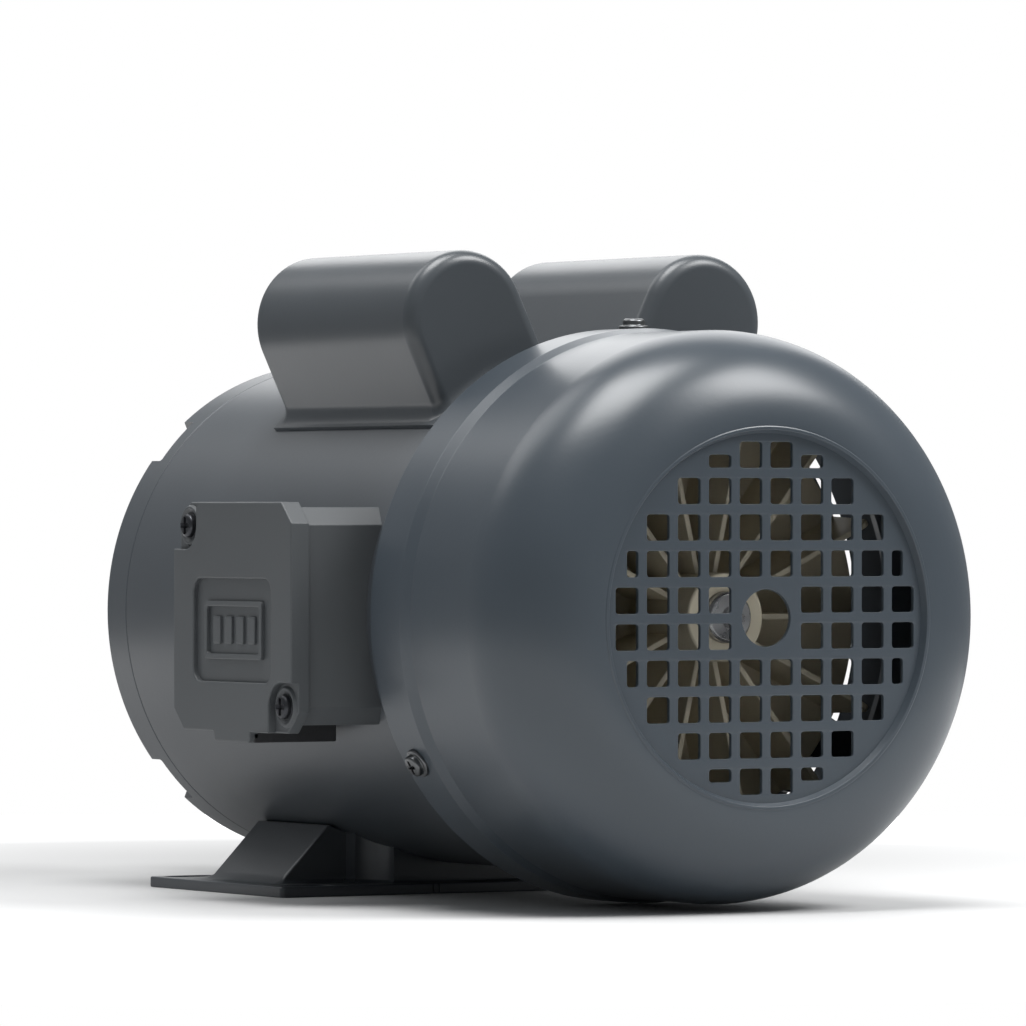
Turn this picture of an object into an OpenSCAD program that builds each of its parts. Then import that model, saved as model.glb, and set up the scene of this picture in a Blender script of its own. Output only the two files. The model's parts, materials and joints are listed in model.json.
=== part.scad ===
// Foot-mounted, fan-cooled, single-phase electric motor with a centrifugal starting switch.
// The shaft lies along Y: the fan is at -Y and the driven end at +Y. The origin is on the
// mounting plane, midway between the base slots, and the shaft axis is axis_h above it.

/* [Frame] */
// Height of the shaft axis above the mounting plane
axis_h = 88.9; // [88.9:0.1:92]
// Outside diameter of the rolled steel shell
shell_d = 160; // [159.6:0.1:160.4]
// Wall of the shell
shell_t = 2.5; // [2:0.1:2.8]
// Fan end of the shell
shell_y0 = -130.5; // [-132:0.5:-130]
// Drive end of the shell, where the endshield seam is
shell_y1 = 48.5; // [48:0.5:49]

/* [Base] */
// Width of the base plate across the shaft
base_w = 148; // [146:1:156]
// Length of the base plate along the shaft
base_l = 88; // [88:1:92]
// Sheet thickness of the base
base_t = 3.4; // [3:0.1:3.8]
// Spacing of the mounting slots across the shaft
slot_dx = 123.8; // [123:0.1:124]
// Spacing of the mounting slots along the shaft
slot_dy = 76.2; // [75:0.1:77]
// Width of a mounting slot
slot_w = 8.7; // [8.5:0.1:9]
// End-to-end length of a mounting slot
slot_l = 18; // [14:0.5:19]

/* [Shaft] */
// Diameter of the driven end
shaft_d = 15.875; // [15.8:0.005:15.9]
// Where the driven end begins
shoulder_y = 107.95; // [107:0.05:109]
// Length of the driven end
shaft_l = 47.6; // [44:0.1:50]
// Width of the keyseat
key_w = 4.78; // [4.7:0.01:4.8]
// Length of the keyseat, open at the shaft's end
key_l = 22.5; // [18:0.5:22.5]

/* [Fan cover] */
// Diameter of the cover's front part
cover_d = 173.8; // [173:0.1:174.2]
// Diameter of the cover's wider rear part
rim_d = 176.4; // [176:0.1:176.8]
// Sheet thickness of the cover
cover_t = 1.2; // [1:0.1:1.3]
// Front face of the cover
cover_y0 = -212; // [-213:0.5:-211]
// Open edge of the cover
cover_y1 = -124.9; // [-126:0.1:-124]
// Radius of the rounded front edge
cover_round = 31.2; // [30:0.1:32]
// Spacing of the grille holes
grille_pitch = 10.87; // [10.8:0.01:10.9]
// Side of a grille hole
grille_hole = 7.8; // [7:0.1:8.2]

/* [Fan] */
// Outside diameter of the fan
fan_d = 138; // [130:1:150]
// Number of straight radial blades
blade_n = 14; // [10:2:16]
// Blade thickness
blade_t = 1.8; // [1.5:0.1:2.2]

/* [Terminal box] */
// Width of the box cover along the shaft
tcover_w = 75.4; // [75:0.1:76]
// Height of the box cover
tcover_h = 69.8; // [69:0.1:71]
// Distance of the cover's face from the shaft axis
tcover_x = 106; // [106:0.5:108]
// Middle of the terminal box along the shaft
tbox_y = -70; // [-71:0.5:-69]

/* [Capacitor covers] */
// Lean of each capacitor cover from the vertical, in degrees
cap_lean = 25.2; // [25:0.1:27]
// Radius of the round top of a cover
cap_r = 21.3; // [21:0.1:22]
// Distance from the shaft axis to the middle of a capacitor
cap_w = 100.9; // [100.5:0.1:102]
// Fan end of a cover
cap_y0 = -107.3; // [-108:0.1:-107]
// Drive end of a cover
cap_y1 = -7.4; // [-8:0.1:-2]

/* [Windings and rotor] */
// Fan end of the stator core
core_y0 = -50; // [-51:0.5:-50]
// Drive end of the stator core
core_y1 = 20; // [20:0.5:21]
// Radius of the stator bore
bore_r = 44.35; // [44.3:0.01:44.4]
// Number of stator slots
slot_n = 24; // [24:24:24]
// Number of rotor bars
bar_n = 28; // [20:2:30]

/* [Hidden] */
// Smoothness of large and small rounds
round_n = 96;
small_n = 32;
slate = [0.34, 0.37, 0.39];
steel = [0.72, 0.73, 0.75];
dark_steel = [0.3, 0.31, 0.33];
copper = [0.72, 0.4, 0.2];
brass = [0.78, 0.62, 0.3];
black = [0.08, 0.08, 0.09];
phenolic = [0.45, 0.24, 0.14];
olive = [0.62, 0.58, 0.47];
// A joint face and the face it seats on stand this far apart
seat = 0.02;
shell_r = shell_d / 2;
shell_ri = shell_r - shell_t;
saddle_r = shell_r + seat;

// Height of the keyseat's floor above the shaft axis
keyseat_z = 5.19;

// Through bolts
bolt_a = 43.5;
bolt_angles = [bolt_a, 180 - bolt_a, 180 + bolt_a, 360 - bolt_a];
bolt_ring_r = 72.5;
bolt_r = 2.5;
bolt_hole_r = 2.7;
bolt_head_r = 4.6;
notch_y = 55;
notch_w = 17.5;

// Endshields
shield_rim_y = 61.5;
spigot_r = shell_ri - 0.1;
spigot_l = 6;
web_y0 = -142;
web_y1 = -137.5;
rim_r = rim_d / 2;
cover_r = cover_d / 2;
cover_screw_angles = [90, 210, 330];
cover_screw_y = -134;
ear_r = rim_r - cover_t - 0.1;

// Bearings, bore 17, outside 40, width 12
bearing_ri = 8.5;
bearing_ro = 20;
bearing_w = 12;
ball_ring_r = 14.25;
ball_r = 3.33;
groove_r = 3.43;
ball_n = 8;
drive_bearing_y = 86;
fan_bearing_y = -124;

// Ends of the cone between the cover's front and rear parts
cone_y0 = -147;
cone_y1 = -142.4;

// Grille
disc_y0 = -210;
disc_t = 1.4;
disc_r = 56.2;
grille_bore_r = 8.6;
// Half width of each row of holes, counted in hole spacings, from the outside row to the middle
row_half = [2, 3, 4, 5, 5];

// Fan
hub_r = 13.9;
fan_seat_r = 7.75;
fan_hub_y0 = -187;
fan_plate_y = -152;
fan_plate_t = 2.5;
blade_y0 = -176;
fan_clip_y = -149.3;

// Terminal box
tcover_t = 3.6;
tskirt = 6.5;
tchamfer = 6.5;
box_gap = 1.6;
box_chamfer = 5.4;
box_x = -(tcover_x - tcover_t - 1);
box_wall = 2.6;
tab_w = 23;
tab_drop = 4.1;
tab_t = 1.5;
tscrew_dy = 30.5;
tscrew_dz = 27.6;
pocket_r = 7.3;
pocket_depth = 2.6;
panel_w = 49.7;
panel_h = 31.8;
panel_dz = -4.6;
panel_depth = 1.6;
entry_r = 8.2;
entry_x = -88.5;
entry_collar_r = 10.2;
entry_x1 = -75;

// Capacitors
can_r = 17.5;
can_y0 = -99;
can_y1 = -17.5;
cap_round = 4.5;
cap_sheet = 1.5;
flange_t = 1.2;
flange_half = 26;

// Centrifugal switch
carrier_hub_r = 13.9;
carrier_y0 = -100;
carrier_y1 = -70;
spool_y0 = -101;
pivot_x = 25;
pivot_y = -88;
pivot_r = 1.5;
arm_x = -34;
arm_y = -107;
arm_pin_r = 1.2;
running = 0.05;

// Driving shapes

// Moves the children up to the shaft axis
module on_axis() {
    translate([0, 0, axis_h]) children();
}

// Turns a profile drawn as [radius, y] about the shaft axis
module turned() {
    on_axis() rotate([-90, 0, 0]) rotate_extrude($fn = round_n) children();
}

// A ring about the shaft axis
module ring(y0, y1, ro, ri = 0) {
    turned() translate([ri, y0]) square([ro - ri, y1 - y0]);
}

// Turns the children about the shaft axis, so that +X points outward at angle a above +X
module polar(a) {
    on_axis() rotate([0, -a, 0]) children();
}

// A rod along Y
module rod_y(y0, y1, r) {
    translate([0, y0, 0]) rotate([-90, 0, 0]) cylinder(h = y1 - y0, r = r, $fn = small_n);
}

// A rod along X
module rod_x(x0, x1, r) {
    translate([x0, 0, 0]) rotate([0, 90, 0]) cylinder(h = x1 - x0, r = r, $fn = small_n);
}

// A rod along Z, centred on z = 0
module rod_z(h, r) {
    cylinder(h = h, r = r, center = true, $fn = small_n);
}

// A rectangle with round corners, its low corner at the origin
module soft_rect(w, h, r) {
    translate([r, 0]) square([w - 2 * r, h]);
    translate([0, r]) square([w, h - 2 * r]);
    for (x = [r, w - r], y = [r, h - r])
        translate([x, y]) circle(r = r, $fn = small_n);
}

// A rectangle with cut corners, centred on the origin
module chamfered_rect(w, h, c) {
    polygon([
        [-w / 2 + c, -h / 2], [w / 2 - c, -h / 2], [w / 2, -h / 2 + c], [w / 2, h / 2 - c],
        [w / 2 - c, h / 2], [-w / 2 + c, h / 2], [-w / 2, h / 2 - c], [-w / 2, -h / 2 + c]
    ]);
}

// A cross recess, cut into a head whose top is at z = 0
module cross_recess(size, depth) {
    for (a = [0, 90])
        rotate([0, 0, a]) translate([-size / 2, -size * 0.12, -depth]) cube([size, size * 0.24, depth + 1]);
}

// A pan-head screw: the head stands on z = 0 and the shank goes down
module pan_screw(head_r, head_h, shank_r, shank_l) {
    difference() {
        union() {
            cylinder(h = head_h * 0.35, r = head_r, $fn = small_n);
            translate([0, 0, head_h * 0.35]) cylinder(h = head_h * 0.65, r = head_r * 0.8, $fn = small_n);
            translate([0, 0, -shank_l]) cylinder(h = shank_l, r = shank_r, $fn = small_n);
        }
        translate([0, 0, head_h]) cross_recess(head_r * 1.1, head_h * 0.6);
    }
}

// Frame

module stator_shell() color(slate) difference() {
    ring(shell_y0, shell_y1, shell_r, shell_ri);
    // Way in for the leads from the terminal box
    on_axis() translate([0, tbox_y, 0]) rod_x(-shell_r - 5, -shell_ri + 10, 9);
    // Ways in for the capacitor leads
    for (side = [-1, 1])
        leaned(side) translate([0, -60, shell_ri - 5]) cylinder(h = 12, r = 6, $fn = small_n);
    // Tapped holes of the capacitor covers
    cap_screw_places() translate([0, 0, shell_ri - 5]) cylinder(h = 12, r = 1.7, $fn = small_n);
    // Tapped holes of the terminal box
    box_screw_places() rod_x(-12, 12, 1.7);
}

module base_plate() color(slate) difference() {
    translate([-base_w / 2, -base_l / 2, 0]) linear_extrude(base_t) soft_rect(base_w, base_l, 1.5);
    for (sx = [-1, 1], sy = [-1, 1])
        translate([sx * slot_dx / 2, sy * slot_dy / 2, -1]) {
            for (e = [-1, 1])
                translate([e * (slot_l - slot_w) / 2, 0, 0])
                    cylinder(h = base_t + 2, r = slot_w / 2, $fn = small_n);
            translate([-(slot_l - slot_w) / 2, -slot_w / 2, 0]) cube([slot_l - slot_w, slot_w, base_t + 2]);
        }
    // Two shallow marks on the fan-side edge, at the middle of the frame's stamping
    for (x = [-19.5, -17.5])
        translate([x, -base_l / 2 - 0.1, -1]) cube([0.8, 0.6, base_t + 2]);
}

// Outer form of the cradle, drawn in by inset
module cradle_form(inset) {
    wing_y = 23;
    centre_y = 38;
    centre_x = 30;
    foot_x = 63.2;
    top_x = 45.5;
    top_z = 21.4;
    intersection() {
        // Sloped sides
        translate([0, base_l, 0]) rotate([90, 0, 0]) linear_extrude(2 * base_l)
            polygon([
                [-foot_x + 1.35 * inset, base_t], [foot_x - 1.35 * inset, base_t],
                [top_x - 1.35 * inset, top_z], [-top_x + 1.35 * inset, top_z]
            ]);
        // Plan: short at the wings and longer in the middle, with a round turn between
        linear_extrude(top_z + 1) difference() {
            union() {
                square([2 * foot_x + 2, 2 * (wing_y - inset)], center = true);
                square([2 * (centre_x + 9 - inset), 2 * (centre_y - inset)], center = true);
            }
            for (sx = [-1, 1], sy = [-1, 1])
                translate([sx * (centre_x + 9), sy * (centre_y - inset)])
                    circle(r = 9 + inset, $fn = small_n);
        }
    }
}

module base_cradle() color(slate) difference() {
    cradle_form(0);
    translate([0, 0, -0.1]) cradle_form(base_t);
    ring(-base_l, base_l, saddle_r);
}

module drive_endshield() color(slate) difference() {
    turned() polygon([
        [shell_r, shell_y1], [shell_r, shield_rim_y], [shell_r - 3, shield_rim_y + 2.4], [66, 69],
        [46, 78], [31, 86], [27, 90], [27, 99], [10, 99], [10, 93], [bearing_ro + seat, 93],
        [bearing_ro + seat, 77], [27, 77], [40, 73], [58, 63], [66, 54], [66, shell_y1],
        [spigot_r - 2, shell_y1], [spigot_r - 2, shell_y1 - spigot_l], [spigot_r, shell_y1 - spigot_l],
        [spigot_r, shell_y1]
    ]);
    // Notches in the rim, with a seat for each bolt head
    for (a = bolt_angles) polar(a) {
        translate([67, notch_y, -notch_w / 2]) cube([20, 20, notch_w]);
        translate([bolt_ring_r, 0, 0]) rod_y(shell_y1 - 10, notch_y + 5, bolt_hole_r);
    }
    // Groove of the bearing circlip
    ring(78.2, 79.6, 21.2);
}

module fan_endshield() color(slate) difference() {
    union() {
        turned() polygon([
            [10.5, web_y0], [shell_r, web_y0], [shell_r, shell_y0], [spigot_r, shell_y0],
            [spigot_r, shell_y0 + spigot_l], [spigot_r - 2, shell_y0 + spigot_l],
            [spigot_r - 2, web_y1], [27, web_y1], [27, -116.5], [bearing_ro + seat, -116.5],
            [bearing_ro + seat, -132], [10.5, -132]
        ]);
        // Ears for the cover screws
        intersection() {
            ring(web_y0, shell_y0, ear_r);
            for (a = cover_screw_angles) polar(a)
                translate([shell_r - 2, cover_screw_y - 4.5, -7]) cube([ear_r - shell_r + 2, 8, 14]);
        }
        // Posts for the switch plate
        for (a = [90, 270]) polar(a)
            translate([36, 0, 0]) rod_y(web_y1 - 1, -112, 4);
        // Cooling ribs on the outside of the web
        for (i = [0:11]) polar(i * 30 + 15)
            translate([30, web_y0 - 3, -1.2]) cube([34, 3.5, 2.4]);
    }
    for (a = bolt_angles) polar(a) translate([bolt_ring_r, 0, 0])
        rod_y(web_y0 - 5, web_y1 + 5, bolt_hole_r);
    for (a = cover_screw_angles) polar(a) translate([0, cover_screw_y, 0])
        rod_x(shell_r - 1.5, rim_r, 1.75);
    for (a = [90, 270]) polar(a) translate([36, 0, 0]) rod_y(-122, -111, 1.3);
}

module through_bolts() color(dark_steel) for (a = bolt_angles) polar(a) translate([bolt_ring_r, 0, 0]) {
    rod_y(web_y0 - 6, notch_y + 1, bolt_r);
    translate([0, notch_y, 0]) rotate([-90, 0, 0]) cylinder(h = 3.5, r = bolt_head_r, $fn = 6);
}

module bolt_nuts() color(dark_steel) for (a = bolt_angles) polar(a) translate([bolt_ring_r, web_y0 - 4, 0])
    rotate([-90, 0, 0]) difference() {
        cylinder(h = 4, r = bolt_head_r, $fn = 6);
        translate([0, 0, -1]) cylinder(h = 6, r = bolt_r + seat, $fn = small_n);
    }

// Stator

// Outline of a slot between two radii, drawn in by inset
module slot_outline(r0, r1, inset) {
    function half(r) = 3 + (r - 47) * 0.121 - inset;
    polygon([[r0, -half(r0)], [r1, -half(r1)], [r1, half(r1)], [r0, half(r0)]]);
}

// A bar along Y with the slot's outline
module slot_bar(y0, y1, r0, r1, inset) {
    translate([0, y0, 0]) rotate([-90, 0, 0]) linear_extrude(y1 - y0) slot_outline(r0, r1, inset);
}

module stator_core() color(steel) difference() {
    ring(core_y0, core_y1, shell_ri - 0.05, bore_r);
    for (i = [0:slot_n - 1]) polar(i * 360 / slot_n) {
        slot_bar(core_y0 - 1, core_y1 + 1, 46.2, 61.2, 0);
        translate([bore_r - 2, core_y0 - 1, -1.3]) cube([5, core_y1 - core_y0 + 2, 2.6]);
    }
    for (a = bolt_angles) polar(a) {
        translate([bolt_ring_r, 0, 0]) rod_y(core_y0 - 1, core_y1 + 1, 3.2);
        translate([bolt_ring_r, core_y0 - 1, -3.2]) cube([10, core_y1 - core_y0 + 2, 6.4]);
    }
}

// A winding: legs in every slot joined by a rounded bundle at each end
module winding(r0, r1, leg_r1, reach) {
    for (i = [0:slot_n - 1]) polar(i * 360 / slot_n)
        slot_bar(core_y0 - 5, core_y1 + 5, r0 + 1, leg_r1, 0.4);
    turned() {
        translate([r0, core_y0 - 4 - reach]) soft_rect(r1 - r0, reach, 3);
        translate([r0, core_y1 + 4]) soft_rect(r1 - r0, reach, 3);
    }
}

module run_winding() color(copper) winding(54.6, 64, 60.8, 21);

module start_winding() color(copper) winding(47.4, 54.2, 54, 18);

module slot_wedges() color(phenolic) for (i = [0:slot_n - 1]) polar(i * 360 / slot_n)
    translate([46.4, core_y0 - 2, -2.2]) cube([1, core_y1 - core_y0 + 4, 4.4]);

// Rotor

module shaft() color(steel) difference() {
    tip_y = shoulder_y + shaft_l;
    turned() polygon([
        [0, -190], [fan_seat_r - 0.8, -190], [fan_seat_r, -189.2], [fan_seat_r, -142], [bearing_ri, -142],
        [bearing_ri, -118], [10, -118], [10, -60], [12, -60], [12, 30], [11, 30], [11, 80],
        [bearing_ri, 80], [bearing_ri, shoulder_y], [shaft_d / 2, shoulder_y],
        [shaft_d / 2, tip_y - 1], [shaft_d / 2 - 1, tip_y], [0, tip_y]
    ]);
    // Keyseat, open at the end
    on_axis() translate([-key_w / 2, tip_y - key_l, keyseat_z]) cube([key_w, key_l + 1, 10]);
    // Groove of the fan clip
    ring(fan_clip_y - 0.1, fan_clip_y + 1.3, 12, 7.1);
    // Centre hole at the fan end
    turned() polygon([[0, -191], [3.4, -191], [0.9, -186.5], [0.9, -184], [0, -183.5]]);
}

module shaft_slinger() color(black) turned() polygon([
    [bearing_ri + seat, 100.2], [13.5, 99.6], [14.5, 100.4], [11.4, 101.8], [11.4, 106],
        [bearing_ri + seat, 106]
]);

module rotor_core() color(steel) difference() {
    ring(core_y0, core_y1, bore_r - 0.35, 12 + seat);
    for (i = [0:bar_n - 1]) polar(i * 360 / bar_n) translate([39.5, 0, 0])
        rod_y(core_y0 - 1, core_y1 + 1, 2.3);
}

module rotor_cage() color([0.78, 0.79, 0.8]) {
    for (y = [core_y0 - 10 - seat, core_y1 + seat]) ring(y, y + 10, 43.5, 25);
    for (i = [0:bar_n - 1]) polar(i * 360 / bar_n) translate([39.5, 0, 0])
        rod_y(core_y0 - 2, core_y1 + 2, 2.2);
    for (i = [0:6]) polar(i * 360 / 7) {
        translate([30, core_y0 - 15, -1.5]) cube([12, 6, 3]);
        translate([30, core_y1 + 9, -1.5]) cube([12, 6, 3]);
    }
}

// Bearings

module bearing_outer(yc) color(steel) turned() difference() {
    translate([16.6, yc - bearing_w / 2]) square([bearing_ro - 16.6, bearing_w]);
    translate([ball_ring_r, yc]) circle(r = groove_r, $fn = 48);
}

module bearing_inner(yc) color(steel) turned() difference() {
    translate([bearing_ri + seat, yc - bearing_w / 2]) square([12 - bearing_ri - seat, bearing_w]);
    translate([ball_ring_r, yc]) circle(r = groove_r, $fn = 48);
}

module bearing_balls(yc) color(brass) {
    ring(yc - 1.3, yc + 1.3, 15.3, 13.2);
    for (i = [0:ball_n - 1]) polar(i * 360 / ball_n)
        translate([ball_ring_r, yc, 0]) sphere(r = ball_r, $fn = small_n);
}

module bearing_shields(yc) color(dark_steel)
    for (y = [yc - 5.4, yc + 5]) ring(y, y + 0.4, 16.6 - seat, 12.4);

module drive_bearing_outer() bearing_outer(drive_bearing_y);
module drive_bearing_inner() bearing_inner(drive_bearing_y);
module drive_bearing_balls() bearing_balls(drive_bearing_y);
module drive_bearing_shields() bearing_shields(drive_bearing_y);
module drive_bearing_circlip() color(dark_steel) ring(78.3, 79.5, 21.1, 17.6);
module fan_bearing_outer() bearing_outer(fan_bearing_y);
module fan_bearing_inner() bearing_inner(fan_bearing_y);
module fan_bearing_balls() bearing_balls(fan_bearing_y);
module fan_bearing_shields() bearing_shields(fan_bearing_y);
module wave_washer() color(dark_steel) ring(-131.4, -130.6, 19.4, 15.6);

// Fan and its cover

// Half section of the cover, drawn in by inset
module cover_outline(inset) {
    round_y = cover_y0 + cover_round;
    translate([0, cover_y0 + inset]) square([cover_r - cover_round, cover_round]);
    intersection() {
        translate([cover_r - cover_round, round_y]) circle(r = cover_round - inset, $fn = round_n);
        translate([cover_r - cover_round - 1, cover_y0]) square([cover_round + 1, cover_round]);
    }
    polygon([
        [0, round_y - 1], [cover_r - inset - 0.02, round_y - 1], [cover_r - inset, round_y],
        [cover_r - inset, cone_y0], [rim_r - inset, cone_y1], [rim_r - inset, cover_y1], [0, cover_y1]
    ]);
}

// True where the grille has a hole in column i and row j, counted from 0 to 9
function grille_open(i, j) =
    let (half = row_half[min(j, 9 - j)], cx = abs(i - 4.5))
    cx < half && !(cx < 1 && abs(j - 4.5) < 1);

module fan_cover() color(slate) difference() {
    union() {
        turned() difference() {
            cover_outline(0);
            cover_outline(cover_t);
            translate([0, cover_y0 - 1]) square([disc_r - 0.4, 3]);
        }
        // Grille disc, set back behind a short wall
        ring(disc_y0, disc_y0 + disc_t, disc_r, 0);
        ring(cover_y0 + 0.1, disc_y0 + disc_t, disc_r + cover_t, disc_r - 0.4);
    }
    for (i = [0:9], j = [0:9]) if (grille_open(i, j)) {
        // Outside rows and columns are cut short on the outside
        cut_x = (i == 0 || i == 9) && (j == 3 || j == 6) ? 0.5 : 1;
        cut_z = (j == 0 || j == 9) && (i == 3 || i == 6) ? 0.5 : 1;
        on_axis() translate([(i - 4.5) * grille_pitch, 0, (j - 4.5) * grille_pitch])
            translate([
                -grille_hole / 2 + (i == 0 ? (1 - cut_x) * grille_hole : 0), disc_y0 - 2,
                -grille_hole / 2 + (j == 0 ? (1 - cut_z) * grille_hole : 0)
            ])
            cube([grille_hole * cut_x, 6, grille_hole * cut_z]);
    }
    ring(disc_y0 - 2, disc_y0 + 5, grille_bore_r);
    for (a = cover_screw_angles) polar(a) translate([0, cover_screw_y, 0]) rod_x(ear_r - 2, rim_r + 2, 2.3);
}

module fan_cover_screws() color(dark_steel) for (a = cover_screw_angles) polar(a)
    translate([rim_r + seat, cover_screw_y, 0]) rotate([0, 90, 0]) pan_screw(4.7, 3.1, 1.7, 7);

module fan() color(olive) difference() {
    union() {
        ring(fan_hub_y0, fan_plate_y + fan_plate_t, hub_r);
        ring(fan_plate_y, fan_plate_y + fan_plate_t, fan_d / 2);
        for (i = [0:blade_n - 1]) polar(i * 360 / blade_n)
            translate([hub_r - 1, blade_y0, -blade_t / 2])
                cube([fan_d / 2 - hub_r + 1, fan_plate_y - blade_y0 + 1, blade_t]);
    }
    ring(fan_hub_y0 - 1, fan_plate_y + fan_plate_t + 1, fan_seat_r + seat);
}

module fan_clip() color(dark_steel) difference() {
    ring(fan_clip_y, fan_clip_y + 1.2, 11, 7.1 + seat);
    on_axis() translate([-2, fan_clip_y - 1, 0]) cube([4, 4, 20]);
}

// Centrifugal switch, the part on the shaft

module governor_carrier() color(steel) difference() {
    union() {
        ring(carrier_y0, carrier_y1, carrier_hub_r, 10 + seat);
        ring(carrier_y1 - 2, carrier_y1, 34, 10 + seat);
        on_axis() for (sx = [-1, 1], sz = [-1, 1])
            translate([sx * pivot_x - 3.5, pivot_y - 3, sz * 10 - 1])
                cube([7, carrier_y1 - pivot_y + 2, 2]);
    }
    on_axis() for (sx = [-1, 1]) translate([sx * pivot_x, pivot_y, 0]) rod_z(30, pivot_r + seat);
}

module governor_pins() color(dark_steel) on_axis() for (sx = [-1, 1])
    translate([sx * pivot_x, pivot_y, 0]) rod_z(23, pivot_r);

module governor_spool() color(black) turned() polygon([
    [carrier_hub_r + 0.08, spool_y0], [28, spool_y0], [28, spool_y0 + 2.4], [16.4, spool_y0 + 2.4],
    [16.4, -92.2], [19.5, -92.2], [19.5, -90.2], [16.4, -90.2], [16.4, -85.8], [19.5, -85.8],
    [19.5, -83.8], [carrier_hub_r + 0.08, -83.8]
]);

// Points round one section of the spring wire at turn angle a and position y
function wire_section(a, y, mean_r, wire_r, sides) = [
    for (k = [0:sides - 1])
        let (t = k * 360 / sides, r = mean_r + wire_r * cos(t))
        [r * cos(a), y + wire_r * sin(t), r * sin(a)]
];

module governor_spring() color(steel) on_axis() {
    turns = 3.5;
    steps = 56;
    sides = 8;
    wire_r = 0.7;
    y0 = -83.7 + wire_r;
    y1 = carrier_y1 - 2.1 - wire_r;
    points = [
        for (s = [0:steps])
            each wire_section(s * turns * 360 / steps, y0 + (y1 - y0) * s / steps, 15.2, wire_r, sides)
    ];
    walls = [
        for (s = [0:steps - 1], k = [0:sides - 1])
            [s * sides + k, s * sides + (k + 1) % sides, (s + 1) * sides + (k + 1) % sides,
                (s + 1) * sides + k]
    ];
    ends = [[for (k = [sides - 1:-1:0]) k], [for (k = [0:sides - 1]) steps * sides + k]];
    polyhedron(points = points, faces = concat(walls, ends), convexity = 8);
}

// A flyweight on the +X side: heavy block, two cheeks, a barrel on the pin and a finger
module flyweight() on_axis() translate([pivot_x, pivot_y, 0]) difference() {
    union() {
        rod_z(16, 2.8);
        translate([-2.4, 0, -8]) cube([5, 6, 16]);
        translate([-3, 4, -8]) cube([8, 10, 16]);
        translate([-8.2, -1.2, -3]) cube([8.2, 2.4, 6]);
    }
    rod_z(30, pivot_r + running);
}

module flyweight_a() color(dark_steel) flyweight();

module flyweight_b() color(dark_steel) mirror([1, 0, 0]) flyweight();

// Centrifugal switch, the part on the fan-end shield

module switch_plate() color(phenolic) {
    difference() {
        ring(-111.98, -109.5, 46, 22);
        for (a = [90, 270]) polar(a) translate([36, 0, 0]) rod_y(-113, -108, 1.7);
        on_axis() translate([32, 0, 0]) rod_y(-113, -108, 1.5 + seat);
    }
    on_axis() {
        for (sz = [-1, 1]) translate([arm_x - 2.5, -109.6, sz * 11 - 1]) cube([5, 4.6, 2]);
        translate([arm_x, arm_y, 0]) rod_z(22, arm_pin_r);
    }
}

module switch_plate_screws() color(dark_steel) for (a = [90, 270]) polar(a)
    translate([36, -109.5 + seat, 0]) rotate([-90, 0, 0]) pan_screw(2.9, 1.8, 1.25, 9);

module switch_contacts() color(brass) on_axis() translate([32, 0, 0]) {
    rod_y(-114, -108, 1.5);
    rod_y(-109.48, arm_y - 0.05, 2.8);
}

module switch_arm() color([0.85, 0.65, 0.35]) on_axis() difference() {
    union() {
        translate([arm_x, arm_y, 0]) rod_z(18, 2.1);
        translate([arm_x, arm_y, -9]) cube([5, 1.6, 18]);
        // Two legs past the shaft, joined beyond it
        translate([arm_x + 3, arm_y, -20]) cube([4, 1.6, 40]);
        for (sz = [-1, 1]) {
            translate([arm_x + 3, arm_y, sz * 18 - 2]) cube([66, 1.6, 4]);
            // Pads that bear on the spool
            translate([0, 0, sz * 18]) rod_y(arm_y + 1, spool_y0 - 0.35, 2);
        }
        translate([31, arm_y, -20]) cube([4, 1.6, 40]);
        translate([32, 0, 0]) rod_y(arm_y + 0.2, arm_y + 3, 2.2);
    }
    translate([arm_x, arm_y, 0]) rod_z(30, arm_pin_r + running);
}

// Terminal box

// Moves the children to the middle of the terminal box on the shaft axis
module at_box() {
    translate([0, tbox_y, axis_h]) children();
}

// A block along X from x0 to x1, with the outline drawn as [y, z]
module along_x(x0, x1) {
    translate([x0, 0, 0]) rotate([90, 0, 90]) linear_extrude(x1 - x0) children();
}

module box_screw_places() {
    for (dy = [-17, 17]) at_box() translate([-shell_r, dy, 0]) children();
}

module terminal_box() color(slate) difference() {
    at_box() along_x(box_x, -60)
        chamfered_rect(tcover_w - 2 * box_gap, tcover_h - 2 * box_gap, box_chamfer);
    // Hollow, with pillars left for the cover screws
    difference() {
        at_box() along_x(box_x - 1, -60)
            chamfered_rect(tcover_w - 2 * box_gap - 2 * box_wall, tcover_h - 2 * box_gap - 2 * box_wall,
                box_chamfer - 1.4);
        ring(-130, 0, shell_r + 3.5);
        for (s = [-1, 1]) at_box() translate([0, s * tscrew_dy, s * tscrew_dz]) rod_x(box_x - 1, -60, 4.6);
    }
    for (s = [-1, 1]) at_box() translate([0, s * tscrew_dy, s * tscrew_dz])
        rod_x(box_x - 1, box_x + 14, 1.8);
    ring(-140, 0, saddle_r);
    // Lead hole, cable entry, fixing screws and earth screw
    at_box() rod_x(-90, -70, 9);
    at_box() translate([entry_x, 0, -tcover_h / 2 - 10])
        cylinder(h = 18, r = entry_collar_r + running, $fn = small_n);
    box_screw_places() rod_x(-12, 12, 2.2);
    at_box() translate([0, -26, 14]) rod_x(-86, -78, 1.8);
}

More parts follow.
